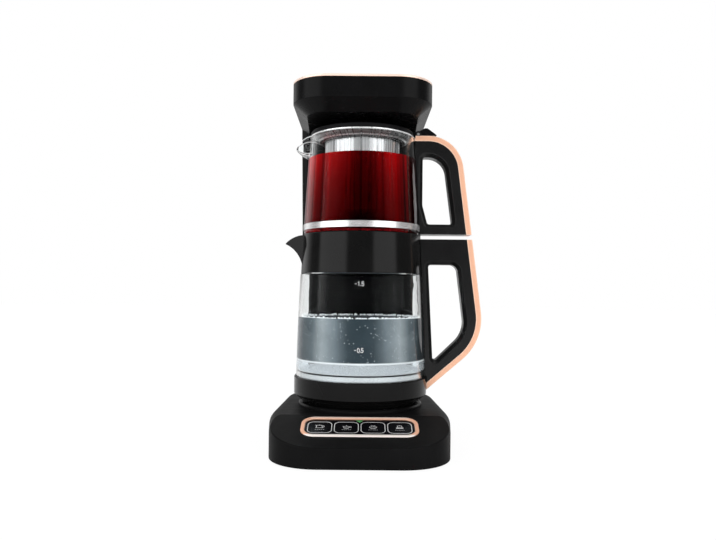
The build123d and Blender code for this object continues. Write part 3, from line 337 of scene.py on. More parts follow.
def metal(name, colour, roughness, stretch, depth=0.00002, metallic=1.0):
    """Brushed or cast metal: lines in tone and height, laid out by stretch."""
    material, tree, shader = blank(name, Metallic=metallic)
    lines = object_noise(tree, scale=1.0, detail=5.0, stretch=stretch)
    link(tree, ramp(tree, lines, *shades(colour, 0.88, 1.06)), shader.inputs["Base Color"])
    link(tree, spread(tree, lines, roughness - 0.04, roughness + 0.05), shader.inputs["Roughness"])
    bump(tree, shader, lines, distance=depth, strength=0.5, edge=METAL_EDGE)
    return material


def near_edges(tree, radius):
    """0 on flat ground, rising to 1 within a radius of a sharp edge."""
    surface = node(tree, "ShaderNodeNewGeometry")
    turned = node(tree, "ShaderNodeVectorMath", operation="DOT_PRODUCT")
    link(tree, surface.outputs["Normal"], turned.inputs[0])
    link(tree, rounded_normal(tree, radius, samples=8), turned.inputs[1])
    return remap(tree, turned.outputs["Value"], EDGE_BEGINS, EDGE_FULL, 0.0, 1.0)


def clear_glass(name, edge=0.0010, edge_share=0.85, plain_above=None):
    """Glass that lets light through to what it holds, with a faint waviness and a painted highlight
    along its edges.

    Above a height plain_above, in metres, its edges get no painted highlight.
    """
    tint = (0.97, 0.985, 0.985)
    material, tree, shader = blank(name, IOR=1.47, Transmission_Weight=1.0, Roughness=0.0)
    shader.inputs["Specular Tint"].default_value = (*grey(0.015), 1)
    clouds = object_noise(tree, scale=14.0, detail=2.0)
    link(tree, ramp(tree, clouds, *shades(tint, 0.985, 1.0)), shader.inputs["Base Color"])
    waves = object_noise(tree, scale=30.0, detail=1.0)
    bump(tree, shader, waves, distance=0.0001, strength=0.2)
    # painted highlight: a pale matte layer on the glass along its edges stands in for light caught
    # there
    painted_edge_highlight = node(tree, "ShaderNodeBsdfDiffuse")
    painted_edge_highlight.inputs["Color"].default_value = (0.93, 0.94, 0.94, 1)
    share = product(tree, near_edges(tree, edge), edge_share)
    if plain_above is not None:
        lit_height = remap(tree, place_along(tree, "Z"), plain_above - MM, plain_above, 1.0, 0.0)
        share = product(tree, share, lit_height)
    polished = mixed(tree, share, shader.outputs["BSDF"], painted_edge_highlight.outputs["BSDF"])
    see_surface(tree, mixed(tree, unseen_rays(tree), polished, clear_layer(tree, tint)))
    return material


def glowing(name, colour, strength):
    """A lens with a weak light behind it."""
    material, tree, shader = blank(name, Roughness=0.3)
    grains = object_noise(tree, scale=400.0, detail=2.0)
    link(tree, ramp(tree, grains, *shades(colour, 0.7, 1.0)), shader.inputs["Base Color"])
    shader.inputs["Emission Color"].default_value = (*colour, 1)
    shader.inputs["Emission Strength"].default_value = strength
    return material


RUN_BLEND = 0.0012              # over which a painted highlight of the trim fades, in metres


def peach_trim(name, middle, edge, radius, highlight_runs=None):
    """Metallised rose-gold plastic: satin over a very fine flake, with a second tone at its edges,
    which paints light on the rounded edges: a paler edge is a painted highlight, a paler middle a
    painted sheen.

    Given two places along Y in metres, it has a painted highlight, nearly white, in front of the
    first, and a paler painted highlight behind the second.
    """
    material, tree, shader = blank(name, Metallic=0.3)
    flake = object_noise(tree, scale=5200.0, detail=2.0)
    # the two tones paint light: a paler edge tone is a painted highlight, a paler middle a painted
    # sheen
    flat, edge_tone = (ramp(tree, flake, *shades(colour, 0.97, 1.03)) for colour in (middle, edge))
    tone = blend_colours(tree, near_edges(tree, radius), flat, edge_tone)
    # painted highlights at the front and the rear of the piece
    if highlight_runs is not None:
        depth = place_along(tree, "Y")
        front, rear = highlight_runs
        before = remap(tree, depth, front, front + RUN_BLEND, 0.85, 0.0)
        behind = remap(tree, depth, rear - RUN_BLEND, rear, 0.0, 0.6)
        painted_highlight = maths(tree, "MAXIMUM", before, behind)
        tone = blend_colours(tree, painted_highlight, tone, (1.0, 0.97, 0.94))
    link(tree, tone, shader.inputs["Base Color"])
    link(tree, spread(tree, flake, 0.27, 0.33), shader.inputs["Roughness"])
    bump(tree, shader, flake, distance=0.000006, strength=0.4, edge=0.0012)
    return material


GROOVE_LOW, GROOVE_HIGH = 2.7, 0.9      # a spun plate's painted groove shade, in millimetres under its edge
UPWARD = 0.75                           # a normal's rise from which a surface counts as a top


def spun_plate(name, face, side, groove_shade_colour, edge):
    """A spun steel disc: rings of brush lines on its top, which is painted lighter than its side,
    and a side with a painted dark line of shade for a groove.

    The painted groove shade lies a little under its upper edge, whose height is in millimetres.
    """
    material, tree, shader = blank(name)
    radius, _, height = about_axis(tree)
    rings = line_noise(tree, radius, scale=700.0)
    surface = node(tree, "ShaderNodeNewGeometry")
    normal = node(tree, "ShaderNodeSeparateXYZ")
    link(tree, surface.outputs["Normal"], normal.inputs["Vector"])
    upward = window(tree, normal.outputs["Z"], UPWARD, 2.0, 0.15)
    groove_shade = window(tree, height, (edge - GROOVE_LOW) * MM, (edge - GROOVE_HIGH) * MM, 0.2 * MM)
    # painted shade: a near-black band on the side where a groove would lie in shade
    rolled = blend_colours(tree, groove_shade, ramp(tree, rings, *shades(side, 0.9, 1.1)), groove_shade_colour)
    # painted light: the top gets a lighter colour than the side
    top = ramp(tree, rings, *shades(face, 0.86, 1.06))
    link(tree, blend_colours(tree, upward, rolled, top), shader.inputs["Base Color"])
    link(tree, remap(tree, upward, 0.0, 1.0, 0.75, 0.12), shader.inputs["Metallic"])
    link(tree, spread(tree, rings, 0.22, 0.32), shader.inputs["Roughness"])
    bump(tree, shader, rings, distance=0.00002, strength=0.4, edge=METAL_EDGE)
    return material


SHADE_UNDER_CONE = 1.2          # millimetres that the painted shade under the cone reaches down the wall


def basket_steel(cone_foot, rim):
    """Spun steel with upright polishing lines, and painted shade and highlight rings on the cone
    under its flange.

    The heights of the cone's foot and of the rim are in millimetres.
    """
    material, tree, shader = blank("BasketSteel", Metallic=0.72)
    _, angle, height = about_axis(tree)
    lines = line_noise(tree, angle, scale=14.0)
    upright = ramp(tree, lines, (0.36, 0.36, 0.37), (0.84, 0.84, 0.85))
    up_cone = remap(tree, height, (cone_foot - SHADE_UNDER_CONE) * MM, rim * MM, 0.0, 1.0)
    # painted light: dark shade at and under the cone's foot, bright highlight rings, darker bands
    # between
    rings = grey_stops(
        tree, up_cone, (0.0, 0.10), (0.16, 0.12), (0.20, 0.92), (0.30, 0.70), (0.38, 0.16),
        (0.62, 0.30), (0.86, 0.20), (0.94, 0.95))
    cone = maths(tree, "GREATER_THAN", up_cone, 0.001)
    link(tree, blend_colours(tree, cone, upright, rings), shader.inputs["Base Color"])
    link(tree, spread(tree, lines, 0.24, 0.32), shader.inputs["Roughness"])
    return material


AROUND = (60.0, 60.0, 9000.0)       # brush lines that run round a vertical axis

finishes = {
    "housing_black": plastic("HousingBlack", (0.0048, 0.0048, 0.0050), 0.42, specular=0.04),
    "satin_black": plastic(
        "SatinBlack", (0.0040, 0.0040, 0.0042), 0.25, depth=0.00002, specular=0.07),
    "gloss_black": plastic(
        "GlossBlack", (0.003, 0.003, 0.004), 0.14, grain=500.0, depth=0.00001, specular=0.25),
    "pot_black": plastic(
        "PotBlack", grey(0.0045), 0.14, grain=1800.0, depth=0.00001, specular=0.15),
    # its paler edge tone is a painted highlight along the strip's rounded edges
    "rose_gold": peach_trim("RoseGold", (0.80, 0.44, 0.29), (0.95, 0.68, 0.53), 0.0022),
    "glass": clear_glass("Borosilicate"),
    "steel": metal("BrushedSteel", (0.80, 0.80, 0.81), 0.20, AROUND),
    "screw_steel": metal("ScrewSteel", (0.62, 0.62, 0.63), 0.34, grey(1500.0)),
    "aluminium": metal("CastAluminium", (0.68, 0.68, 0.69), 0.45, grey(700.0), depth=0.00005),
    "rubber": plastic("BlackRubber", (0.012, 0.012, 0.013), 0.7, grain=1500.0, depth=0.00006),
    "silicone": plastic(
        "Silicone", (0.70, 0.72, 0.72), 0.45, grain=900.0, depth=0.00003, specular=0.4),
    "circuit_board": plastic("CircuitBoard", (0.02, 0.10, 0.05), 0.4, grain=1200.0, specular=0.4),
    "lens": glowing("GreenLens", (0.03, 0.24, 0.07), 0.25),
    "pump_plastic": plastic("EnginePlastic", (0.05, 0.05, 0.052), 0.5, specular=0.3),
}
for entry in frame["record"]["subparts"]:
    piece = nodes[entry["node"]]
    piece.data.materials.clear()
    piece.data.materials.append(finishes[entry["material_slot"]])

# nodes whose finish differs a little from the rest of their slot
bezel_front, bezel_rear = depth_range("panel_bezel")
HIGHLIGHT_FRONT, HIGHLIGHT_REAR = 0.0032, 0.0024      # how far its painted highlights reach in, in metres
GLASS_BY_COLLAR = 25.0      # how much of the kettle's glass is in or near its dark collar
variants = {
    # painted edge highlights: wider and full on the teapot's glass, none on the kettle's glass in
    # or near its collar
    "teapot_glass": clear_glass("TeapotGlass", edge=0.0016, edge_share=1.0),
    "kettle_base_ring": plastic(
        "RingBlack", grey(0.0045), 0.15, grain=1800.0, depth=0.00001, specular=0.13),
    "kettle_glass": clear_glass(
        "KettleGlass", plain_above=(top_of("kettle_glass") - GLASS_BY_COLLAR) * MM),
    "teapot_lid": plastic("LidSmoke", (0.0055, 0.0055, 0.006), 0.40, depth=0.00002, specular=0.05),
    # its near-white middle is a painted satin sheen between copper edges
    "head_trim_ring": peach_trim("RoseGoldPaintedSheen", (0.88, 0.68, 0.58), (0.82, 0.47, 0.32), 0.0007),
    # its paler edge tone and its nearly white front and rear runs are painted highlights
    "panel_bezel": peach_trim(
        "BezelRoseGold", (0.92, 0.50, 0.33), (0.97, 0.72, 0.60), 0.0010,
        highlight_runs=(bezel_front + HIGHLIGHT_FRONT, bezel_rear - HIGHLIGHT_REAR)),
    "teapot_band": metal("BandSteel", (0.86, 0.85, 0.85), 0.24, AROUND, metallic=0.8),
    # painted light: a top lighter than its side, and a near-black painted shade line for the groove
    "heater_plate": spun_plate(
        "PlateSteel", (0.88, 0.89, 0.91), (0.74, 0.78, 0.81), (0.015, 0.018, 0.02),
        top_of("heater_plate")),
    "kettle_handle": plastic(
        "GripBlack", (0.0055, 0.0055, 0.0057), 0.22, depth=0.00002, specular=0.25, edge=0.0016),
    "teapot_handle": plastic(
        "GripBlackUpper", (0.0065, 0.0065, 0.0067), 0.22, depth=0.00002, specular=0.3, edge=0.0016),
}
for name, finish in variants.items():
    nodes[name].data.materials[0] = finish


# ---------------------------------------------------------------- mesh tools
def copy_of(node_name, name):
    """A new object with a copy of a node's mesh."""
    made = bpy.data.objects.new(name, nodes[node_name].data.copy())
    scene.collection.objects.link(made)
    return made


def piece_from(name, vertices, faces, material, body):
    """A piece from vertices in metres and faces, smooth but for its sharp edges, on a body."""
    mesh = bpy.data.meshes.new(name)
    mesh.from_pydata([tuple(v) for v in vertices], [], faces)
    mesh.materials.append(material)
    mesh.validate()
    work = bmesh.new()
    work.from_mesh(mesh)
    bmesh.ops.remove_doubles(work, verts=work.verts, dist=1e-7)
    bmesh.ops.recalc_face_normals(work, faces=work.faces)
    work.to_mesh(mesh)
    work.free()
    mesh.polygons.foreach_set("use_smooth", [True] * len(mesh.polygons))
    mesh.set_sharp_from_angle(angle=math.radians(40))
    made = bpy.data.objects.new(name, mesh)
    scene.collection.objects.link(made)
    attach(made, body)


def lathe(profile):
    """Vertices and faces of (radius, height) points in millimetres, turned about the pots' axis."""
    segments = 160
    vertices, faces = [], []
    count = len(profile)
    for i in range(segments):
        angle = 2 * math.pi * i / segments
        for r, z in profile:
            vertices.append(at(r * math.cos(angle), r * math.sin(angle), z))
    for i in range(segments):
        j = (i + 1) % segments
        for k in range(count - 1):
            faces.append((i * count + k, j * count + k, j * count + k + 1, i * count + k + 1))
    return vertices, faces


def ball(centre, radius):
    """Vertices and faces of a small sphere, centre and radius in metres."""
    rings, segments = 6, 10
    vertices, faces = [], []
    for i in range(rings + 1):
        polar = math.pi * i / rings
        for j in range(segments):
            turn = 2 * math.pi * j / segments
            way = Vector((math.sin(polar) * math.cos(turn), math.sin(polar) * math.sin(turn),
                          math.cos(polar)))
            vertices.append(centre + radius * way)
    for i in range(rings):
        for j in range(segments):
            k = (j + 1) % segments
            here, above = i * segments, (i + 1) * segments
            faces.append((here + j, here + k, above + k, above + j))
    return vertices, faces


def gathered(parts):
    """One list of vertices and faces from several."""
    vertices, faces = [], []
    for more_vertices, more_faces in parts:
        start = len(vertices)
        vertices += more_vertices
        faces += [tuple(start + index for index in face) for face in more_faces]
    return vertices, faces


SHARPEST_MITRE = 0.4        # keeps the corners of sharp bends short


def ribbon(points, width, closed=False):
    """A flat stroke of one width along (u, v) points, as quads."""
    points = [Vector(p) for p in points]
    count = len(points)
    left, right = [], []
    for i, here in enumerate(points):
        before = points[i - 1] if i or closed else here
        after = points[(i + 1) % count] if i < count - 1 or closed else here
        way_in, way_out = (here - before), (after - here)
        way_in = way_in.normalized() if way_in.length else way_out.normalized()
        way_out = way_out.normalized() if way_out.length else way_in
        way = (way_in + way_out).normalized()
        aside = Vector((-way.y, way.x)) * (width / 2 / max(SHARPEST_MITRE, way.dot(way_in)))
        left.append(here + aside)
        right.append(here - aside)
    last = count if closed else count - 1
    faces = [(i, (i + 1) % count, count + (i + 1) % count, count + i) for i in range(last)]
    return left + right, faces


def arc(centre_u, centre_v, radius_u, radius_v, start, end, steps=14):
    """Points of an elliptical arc between two angles in degrees."""
    turns = [math.radians(start + (end - start) * i / steps) for i in range(steps + 1)]
    return [(centre_u + radius_u * math.cos(t), centre_v + radius_v * math.sin(t)) for t in turns]


def rounded_rectangle(half_width, half_depth, radius):
    """Points round a rectangle with round corners, about its middle."""
    corners = [(1, 1, 0), (-1, 1, 90), (-1, -1, 180), (1, -1, 270)]
    points = []
    for side_u, side_v, start in corners:
        points += arc(side_u * (half_width - radius), side_v * (half_depth - radius),
                      radius, radius, start, start + 90, 8)
    return points


# ---------------------------------------------------------------- rubber domes under the buttons
key_joints = {}
for joint in frame["joints"]:
    if joint["child"].startswith("button_"):
        key_joints[int(joint["child"].rsplit("_", 1)[1])] = joint

for number, joint in key_joints.items():
    soft = copy_of(f"button_dome_{number}", f"key_dome_{number}")
    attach(soft, joint["parent"])
    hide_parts(f"button_dome_{number}")
    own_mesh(soft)

# ---------------------------------------------------------------- infuser basket
# the basket's own mesh, with the foot of its cone a little higher than in the solid
CONE_HEIGHT = 10.1      # from its foot to the basket's rim
CONE_RAISED = 4.0
FOOT_REACH = 0.8        # takes in both edges of the foot, inside and outside
basket_rim = top_of("infuser_basket")
cone_foot = basket_rim - CONE_HEIGHT
basket = copy_of("infuser_basket", "basket_shell")
for vertex in basket.data.vertices:
    if abs(vertex.co.z / MM - cone_foot) < FOOT_REACH:
        vertex.co.z += CONE_RAISED * MM
basket.data.materials[0] = basket_steel(cone_foot + CONE_RAISED, basket_rim)
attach(basket, "teapot")
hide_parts("infuser_basket")

# ---------------------------------------------------------------- water in the kettle
WATER_LEVEL = 140.5
WATER_OVER_PLATE = 0.15     # keeps the water's floor clear of the steel
CLEAR_WATER = 11.6          # the depth at the bottom through which the steel plate shows
LIQUID_BITE = 0.08          # into the glass, so that no air shows between it and the liquid
RIM_WIDTH, RIM_DROP = 1.4, 0.8      # the rim of a liquid, drawn up the wall
SURFACE_DROP = 0.9                  # its middle, under the level of its rim
water_floor = top_of("heater_plate") + WATER_OVER_PLATE
clear_below = water_floor + CLEAR_WATER


def lathe_fill(name, low, level, bottom_line):
    """The outline of a liquid in a pot, from a low height up to its level, above its bottom."""
    steps = 16
    heights = [low + (level - low) * i / steps for i in range(steps + 1)]
    side = [(wall_radius(name, z) + LIQUID_BITE, z) for z in heights]
    surface = [(side[-1][0] - RIM_WIDTH, level - RIM_DROP), (0.0, level - SURFACE_DROP)]
    return bottom_line + side + surface


def facing(tree):
    """0 where a surface faces the viewer and 1 at its edge."""
    made = node(tree, "ShaderNodeLayerWeight", Blend=0.5)
    return made.outputs["Facing"]


def open_to_light(tree, surface, share):
    """Lets shadow and diffuse rays pass by a share, so that light reaches what lies behind."""
    return mixed(tree, product(tree, unseen_rays(tree), share), surface, clear_layer(tree))


def shade_by_handle(tree, angle, start, least):
    """Painted shade: 1 round the pot, falling to a least value on the handle's side, where the
    handle keeps light off, from start degrees on.
    """
    side = window(tree, angle, math.radians(start), math.radians(180 - start), math.radians(7))
    return remap(tree, side, 0.0, 1.0, 1.0, least)


water_material, tree, shader = blank("HotWater", Roughness=0.2, IOR=1.33, Specular_IOR_Level=0.2)
# painted light: dark in the middle for the column that would show through it, with painted pale
# upright bands of reflected light at the sides
painted_light_bands = stops(
    tree, facing(tree),
    (0.0, (0.025, 0.038, 0.047)), (0.012, (0.035, 0.050, 0.060)), (0.045, (0.13, 0.16, 0.18)),
    (0.105, (0.27, 0.31, 0.33)), (0.165, (0.10, 0.125, 0.14)), (0.24, (0.055, 0.072, 0.083)),
    (0.30, (0.14, 0.16, 0.18)))
specks = node(tree, "ShaderNodeTexVoronoi", Scale=330.0)
link(tree, own_place(tree), specks.inputs["Vector"])
SPECK_CORE, SPECK_RIM = 0.12, 0.24      # distances from a cell's point
SPECKS_ABOVE = 0.515                    # of a noise, so that they gather in clouds
dot = remap(tree, specks.outputs["Distance"], SPECK_CORE, SPECK_RIM, 0.7, 0.0)
chosen = maths(tree, "GREATER_THAN", object_noise(tree, scale=90.0, detail=2.0), SPECKS_ABOVE)
bubble = product(tree, dot, chosen)
cloud = ramp(tree, object_noise(tree, scale=55.0, detail=5.0), grey(0.85), grey(1.1))
specked = blend_colours(tree, bubble, times(tree, painted_light_bands, cloud), (0.45, 0.51, 0.54))
_, angle, height = about_axis(tree)
# painted shade on the handle's side
specked = times(tree, specked, shade_by_handle(tree, angle, start=63, least=0.2))
# at the bottom it is painted pale as if lit by the plate, and see-through, with a soft change to
# the cloudy rest
lit_low = remap(tree, height, (clear_below - 0.6) * MM, (clear_below + 0.8) * MM, 1.0, 0.0)
water_tone = blend_colours(tree, lit_low, specked, (0.80, 0.85, 0.88))
link(tree, water_tone, shader.inputs["Base Color"])
bump(tree, shader, bubble, distance=0.0003, strength=0.4)
clearness = remap(tree, height, (clear_below - 2.0) * MM, (clear_below - 0.4) * MM, 0.74, 0.0)
layered = mixed(tree, clearness, shader.outputs["BSDF"], clear_layer(tree, (0.94, 0.97, 1.0)))
see_surface(tree, open_to_light(tree, layered, share=1.0))
water_outline = lathe_fill("kettle_glass", water_floor, WATER_LEVEL, [(0.0, water_floor)])
piece_from("kettle_water", *lathe(water_outline), water_material, "kettle")

foam_material, tree, shader = blank("Bubbles", Roughness=0.15)
film = object_noise(tree, scale=900.0, detail=2.0)
link(tree, ramp(tree, film, (0.72, 0.78, 0.82), (0.95, 0.97, 0.98)), shader.inputs["Base Color"])
BUBBLES = 520
BUBBLE_RADII = (0.45, 1.3)
BUBBLE_GAP = 0.15           # between the glass and the nearest bubbles
BUBBLE_STRAY = 1.6          # its square is how far the last ones stray from the glass
BUBBLE_RISE = (-0.3, 0.9)   # of their middles over the water, in radii
surface_radius = wall_radius("kettle_glass", WATER_LEVEL)
foam = []
for _ in range(BUBBLES):
    size = RNG.uniform(*BUBBLE_RADII)
    turn = math.radians(RNG.uniform(0, 360))
    radius = surface_radius - size - BUBBLE_GAP - RNG.uniform(0, BUBBLE_STRAY) ** 2
    height = WATER_LEVEL + RNG.uniform(*BUBBLE_RISE) * size
    foam.append(ball(at(radius * math.cos(turn), radius * math.sin(turn), height), size * MM))
piece_from("kettle_bubbles", *gathered(foam), foam_material, "kettle")

# ---------------------------------------------------------------- tea in the teapot
TEA_LEVEL = 319.0
TEA_LIFT = 1.3              # over the teapot's underside, so that its glass floor looks red too
TEA_CORNER = 7.0            # the height over which the glass turns in to its bottom
TEA_FLAT, TEA_ROUND = 4.0, 1.2      # the tea's floor ends short of the wall, and turns up to it
TEA_CLEARNESS = 0.35
tea_floor = bottom_of("teapot_glass") + TEA_LIFT
tea_material, tree, shader = blank("BrewedTea", Roughness=0.1, IOR=1.34, Specular_IOR_Level=0.0)
# painted light: nearly black in the middle and red where less tea stands behind the glass, with
# painted lighter bands between
depth = stops(
    tree, facing(tree),
    (0.0, (0.002, 0.0001, 0.0001)), (0.01, (0.005, 0.0001, 0.0002)),
    (0.04, (0.058, 0.0005, 0.0007)), (0.10, (0.16, 0.0008, 0.0012)), (0.16, (0.07, 0.0004, 0.0008)),
    (0.22, (0.26, 0.0014, 0.002)), (0.30, (0.30, 0.010, 0.014)))
_, angle, height = about_axis(tree)
# painted light: upright streaks, lighter and darker, round the pot
painted_streaks = ramp(tree, line_noise(tree, angle, scale=15.0, detail=5.0), grey(0.35), grey(1.9))
# painted shade on the handle's side
handle_shade = shade_by_handle(tree, angle, start=52, least=0.03)
streaked = times(tree, times(tree, depth, painted_streaks), handle_shade)
from_floor = remap(tree, height, tea_floor * MM, TEA_LEVEL * MM, 0.0, 1.0)
# painted light: brighter near the floor and much brighter towards the top
lit_from_above = grey_stops(
    tree, from_floor, (0.0, 1.6), (0.05, 1.3), (0.08, 0.5), (0.35, 0.62), (0.65, 1.05), (1.0, 2.2))
link(tree, times(tree, streaked, lit_from_above), shader.inputs["Base Color"])
red_layer = clear_layer(tree, (0.22, 0.0015, 0.002))
layered = mixed(tree, TEA_CLEARNESS, shader.outputs["BSDF"], red_layer)
see_surface(tree, open_to_light(tree, layered, share=0.5))
tea_low = tea_floor + TEA_CORNER
low_radius = wall_radius("teapot_glass", tea_low)
tea_bottom = [
    (0.0, tea_floor), (low_radius - TEA_FLAT, tea_floor),
    (low_radius - TEA_ROUND, tea_floor + TEA_ROUND)]
tea_outline = lathe_fill("teapot_glass", tea_low, TEA_LEVEL, tea_bottom)
piece_from("teapot_tea", *lathe(tea_outline), tea_material, "teapot")

# ---------------------------------------------------------------- printed marks
PRINT_LIFT = 0.04       # over the surface it is printed on
print_material = plastic("PrintWhite", grey(0.62), 0.5, grain=900.0, depth=0.000005, specular=0.3)


def printed(name, strokes, place, body):
    """Flat strokes, each with points, a width and closed or not, laid down by place(u, v)."""
    parts = []
    for points, width, closed in strokes:
        flat, faces = ribbon(points, width, closed)
        parts.append(([place(p.x, p.y) for p in flat], faces))
    piece_from(name, *gathered(parts), print_material, body)


def digit_strokes(text, height, stroke):
    """The strokes of figures, points and a dash, one after the other from the left."""
    wide, strokes, u = height * 0.52, [], 0.0
    for sign in text:
        if sign == "1":
            flag = (u + 0.1 * wide, 0.78 * height)
            stem = [(u + 0.5 * wide, height), (u + 0.5 * wide, 0)]
            strokes.append(([flag, *stem], stroke, False))
        elif sign == "0":
            ring = arc(u + wide / 2, height / 2, wide / 2, height / 2, 0, 345, 20)
            strokes.append((ring, stroke, True))
        elif sign == "5":
            top = [(u + wide, height), (u + 0.15 * wide, height), (u + 0.08 * wide, 0.55 * height)]
            bowl = arc(u + 0.45 * wide, 0.32 * height, 0.5 * wide, 0.32 * height, 100, -150)
            strokes.append((top + bowl, stroke, False))
        elif sign == ".":
            strokes.append(([(u, 0), (u, 1.4 * stroke)], 1.2 * stroke, False))
        else:
            strokes.append(([(u, 0.5 * height), (u + 0.8 * wide, 0.5 * height)], stroke, False))
        u += 0.45 * wide if sign == "." else 1.35 * wide
    return strokes


def on_kettle(height, start_u):
    """Places a mark on the kettle's glass, at a height and from start_u along its front."""
    def place(u, v):
        radius = wall_radius("kettle_glass", height + v, outside=True) + PRINT_LIFT
        turn = (start_u + u) / radius
        return at(radius * math.sin(turn), -radius * math.cos(turn), height + v)
    return place


GAUGE_MARKS = (("mark_full", "-1.5", 175.3), ("mark_low", "-0.5", 105.9))
GAUGE_START = -6.5          # the left end of both marks, from the middle of the front
FIGURE_HEIGHT, FIGURE_STROKE = 4.4, 0.6
for name, text, height in GAUGE_MARKS:
    figures = digit_strokes(text, FIGURE_HEIGHT, FIGURE_STROKE)
    printed(name, figures, on_kettle(height, GAUGE_START), "kettle")


def button_surface(number):
    """The half sizes of a key cap's top, and a function that places (u, v) about its middle."""
    outward = -Vector(key_joints[number]["axis"]).normalized()
    across = Vector((1, 0, 0))
    up = outward.cross(across)
    corners = [v.co for v in nodes[f"button_{number}"].data.vertices]
    height = max(corner.dot(outward) for corner in corners)
    top = [corner for corner in corners if height - corner.dot(outward) < 1e-5]
    us, vs = [corner.dot(across) for corner in top], [corner.dot(up) for corner in top]
    middle_u, middle_v = (min(us) + max(us)) / 2, (min(vs) + max(vs)) / 2
    lifted = outward * (height + PRINT_LIFT * MM)

    def place(u, v):
        return lifted + across * (middle_u + u * MM) + up * (middle_v + v * MM)
    return (max(us) - min(us)) / 2 / MM, (max(vs) - min(vs)) / 2 / MM, place


def steam(u, v):
    """A short wavy line of steam."""
    height, swing, steps = 2.2, 0.35, 8
    return [(u + swing * math.sin(height * math.pi * t / steps), v + height * t / steps)
            for t in range(steps + 1)]


# generic symbols round each key's middle: a cup, a cup of tea, a steaming pot and a stand
LINE, FINE_LINE, BAR = 0.5, 0.4, 1.8
icons = {
    1: [([(-3.0, 2.6), (2.0, 2.6), (2.8, -2.6), (-3.8, -2.6)], LINE, True),
        (arc(2.2, 0.1, 2.2, 2.0, 70, -60), LINE, False),
        ([(-3.1, 2.0), (-4.6, 2.8)], LINE, False), ([(-1.2, 3.4), (0.4, 3.4)], LINE, False)],
    2: [(arc(0.0, 0.4, 3.4, 3.2, 180, 360), LINE, False), ([(-3.6, 0.4), (3.6, 0.4)], LINE, False),
        (arc(3.5, -0.6, 1.5, 1.1, 80, -100), LINE, False),
        ([(-2.6, -3.2), (2.6, -3.2)], LINE, False), (steam(0.0, 1.4), FINE_LINE, False)],
    3: [(arc(0.0, 0.0, 3.8, 3.0, 180, 360), LINE, False), ([(-4.0, 0.0), (4.0, 0.0)], LINE, False),
        ([(-2.2, -3.2), (2.2, -3.2)], LINE, False)]
       + [(steam(u, 1.0), FINE_LINE, False) for u in (-1.8, 0.0, 1.8)],
    4: [([(-2.2, -0.6), (-2.2, 2.6), (2.2, 2.6), (2.2, -0.6)], LINE, False),
        ([(-0.9, 3.4), (0.9, 3.4)], LINE, False), ([(-3.6, -1.9), (3.6, -1.9)], BAR, False)],
}
ICON_RISE = 1.6
CAPTION_DROP = -4.6
CAPTION_DASHES = (-4.6, -2.6, -0.6, 1.4, 3.4)
CAPTION_DASH = 1.1
OUTLINE_OVERLAP, OUTLINE_CORNER, OUTLINE_WIDTH = 0.1, 5.8, 0.65
for number, strokes in icons.items():
    half_width, half_depth, place = button_surface(number)
    raised = [([(u, v + ICON_RISE) for u, v in points], width, closed)
              for points, width, closed in strokes]
    dashes = [([(u, CAPTION_DROP), (u + CAPTION_DASH, CAPTION_DROP)], LINE, False)
              for u in CAPTION_DASHES]
    outline = rounded_rectangle(
        half_width + OUTLINE_OVERLAP, half_depth + OUTLINE_OVERLAP, OUTLINE_CORNER)
    marks = raised + dashes + [(outline, OUTLINE_WIDTH, True)]
    printed(f"button_marks_{number}", marks, place, f"button_{number}")

# ---------------------------------------------------------------- studio
scene.view_settings.view_transform = "Standard"


def seen_directly(tree):
    """1 for the camera's own rays and for those that only glass has bent."""
    path = node(tree, "ShaderNodeLightPath")
    bounces = maths(tree, "ADD", path.outputs["Glossy Depth"], path.outputs["Diffuse Depth"])
    unbounced = maths(tree, "LESS_THAN", bounces, 0.5)
    bent = product(tree, path.outputs["Is Transmission Ray"], unbounced)
    return maths(tree, "MAXIMUM", path.outputs["Is Camera Ray"], bent)


FLOOR_HALF = 6.0
floor_mesh = bpy.data.meshes.new("Floor")
floor_signs = ((-1, -1), (1, -1), (1, 1), (-1, 1))
floor_corners = [(x * FLOOR_HALF, y * FLOOR_HALF, 0) for x, y in floor_signs]
floor_mesh.from_pydata(floor_corners, [], [(0, 1, 2, 3)])
floor = bpy.data.objects.new("Floor", floor_mesh)
scene.collection.objects.link(floor)
floor_material, tree, shader = blank("PaleFloor", Roughness=0.9, Specular_IOR_Level=0.0)
shader.inputs["Base Color"].default_value = (*grey(0.86), 1)
white = node(tree, "ShaderNodeEmission", Color=WHITE, Strength=1.04)
FLOOR_GLOW = 0.9            # the rest of what the camera sees is the lit floor with its shadow
share = product(tree, seen_directly(tree), FLOOR_GLOW)
see_surface(tree, mixed(tree, share, shader.outputs["BSDF"], white.outputs["Emission"]))
floor_mesh.materials.append(floor_material)

# the light comes from a pale surround with two tall bright panels, and is dim over a wide gap in
# front and a small one low behind; directions are in degrees from the front, heights are sines
SURROUND = 1.0
FRONT_GAP, FRONT_GAP_HALF, FRONT_GAP_TOP = 0.15, 118.0, (0.75, 0.95)
BACK_GAP, BACK_GAP_START, BACK_GAP_TOP = 0.35, (140.0, 155.0), 0.36
PANELS = ((-86.0, -28.0, 2.1), (23.0, 69.0, 1.9))      # from, to and brightness
PANEL_LOW, PANEL_HIGH = -0.25, 0.72
SOFT_HEIGHT, SOFT_GAP, SOFT_PANEL = 0.06, 10.0, 3.0


def sector(tree, azimuth, start, end, soft):
    """1 between two directions in degrees, with soft ends."""
    return window(tree, azimuth, math.radians(start), math.radians(end), math.radians(soft))


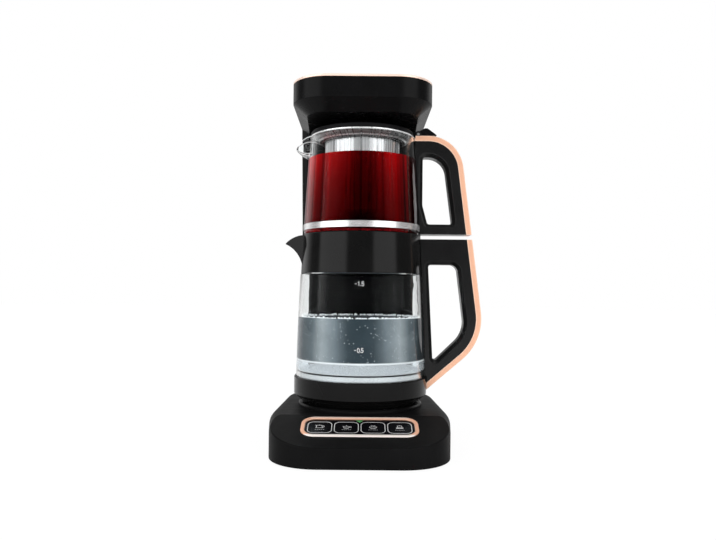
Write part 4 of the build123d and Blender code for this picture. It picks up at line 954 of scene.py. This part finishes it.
world = bpy.data.worlds.new("Studio")
scene.world = world
world.use_nodes = True
tree = world.node_tree
where = node(tree, "ShaderNodeTexCoord")
axes = node(tree, "ShaderNodeSeparateXYZ")
link(tree, where.outputs["Generated"], axes.inputs["Vector"])
rise = axes.outputs["Z"]
azimuth = maths(tree, "ARCTAN2", axes.outputs["X"], product(tree, axes.outputs["Y"], -1.0))
front = sector(tree, azimuth, -FRONT_GAP_HALF, FRONT_GAP_HALF, SOFT_GAP)
gap = product(tree, front, remap(tree, rise, *FRONT_GAP_TOP, 1.0, 0.0))
level = remap(tree, gap, 0.0, 1.0, SURROUND, FRONT_GAP)
aside = maths(tree, "ABSOLUTE", azimuth)
behind = remap(tree, aside, *map(math.radians, BACK_GAP_START), 0.0, 1.0)
low_behind = product(tree, behind, window(tree, rise, 0.0, BACK_GAP_TOP, SOFT_HEIGHT))
level = product(tree, level, remap(tree, low_behind, 0.0, 1.0, 1.0, BACK_GAP))
tall = window(tree, rise, PANEL_LOW, PANEL_HIGH, SOFT_HEIGHT)
for start, end, brightness in PANELS:
    panel = product(tree, sector(tree, azimuth, start, end, SOFT_PANEL), tall)
    level = maths(tree, "ADD", level, product(tree, panel, brightness))
surround = tree.nodes["Background"]
surround.inputs["Color"].default_value = WHITE
link(tree, level, surround.inputs["Strength"])
bright = node(tree, "ShaderNodeBackground", Color=WHITE, Strength=1.0)
seen = mixed(
    tree, seen_directly(tree), surround.outputs["Background"], bright.outputs["Background"])
link(tree, seen, tree.nodes["World Output"].inputs["Surface"])

# a broad soft fill from the front, kept out of the reflections
FILL_PLACE = at(0, -1600, 620)
FILL_AIM = at(0, 0, 200)
FILL_WIDTH, FILL_POWER = 1.4, 15.0
fill = bpy.data.lights.new("Fill", "AREA")
fill.shape, fill.size, fill.energy = "DISK", FILL_WIDTH, FILL_POWER
lamp = bpy.data.objects.new("Fill", fill)
lamp.location = FILL_PLACE
lamp.rotation_euler = (FILL_AIM - FILL_PLACE).to_track_quat("-Z", "Y").to_euler()
lamp.visible_glossy = False
lamp.visible_transmission = False
scene.collection.objects.link(lamp)

# ---------------------------------------------------------------- camera
CAMERA_PLACE = at(0, -780, 170)
FOCAL_PIXELS = 680.0
IMAGE_WIDTH = 716.0
SHIFT_PIXELS = (-3.0, 21.0)
CAMERA_ROLL = 0.54          # in degrees
camera = bpy.data.cameras.new("Camera")
view = bpy.data.objects.new("Camera", camera)
scene.collection.objects.link(view)
camera.sensor_width = 36.0
camera.lens = camera.sensor_width * FOCAL_PIXELS / IMAGE_WIDTH
camera.shift_x, camera.shift_y = (shift / IMAGE_WIDTH for shift in SHIFT_PIXELS)
camera.clip_start, camera.clip_end = 0.05, 30.0
view.matrix_world = (
    Matrix.Translation(CAMERA_PLACE) @ Matrix.Rotation(math.radians(90), 4, "X")
    @ Matrix.Rotation(math.radians(CAMERA_ROLL), 4, "Z"))
scene.camera = view
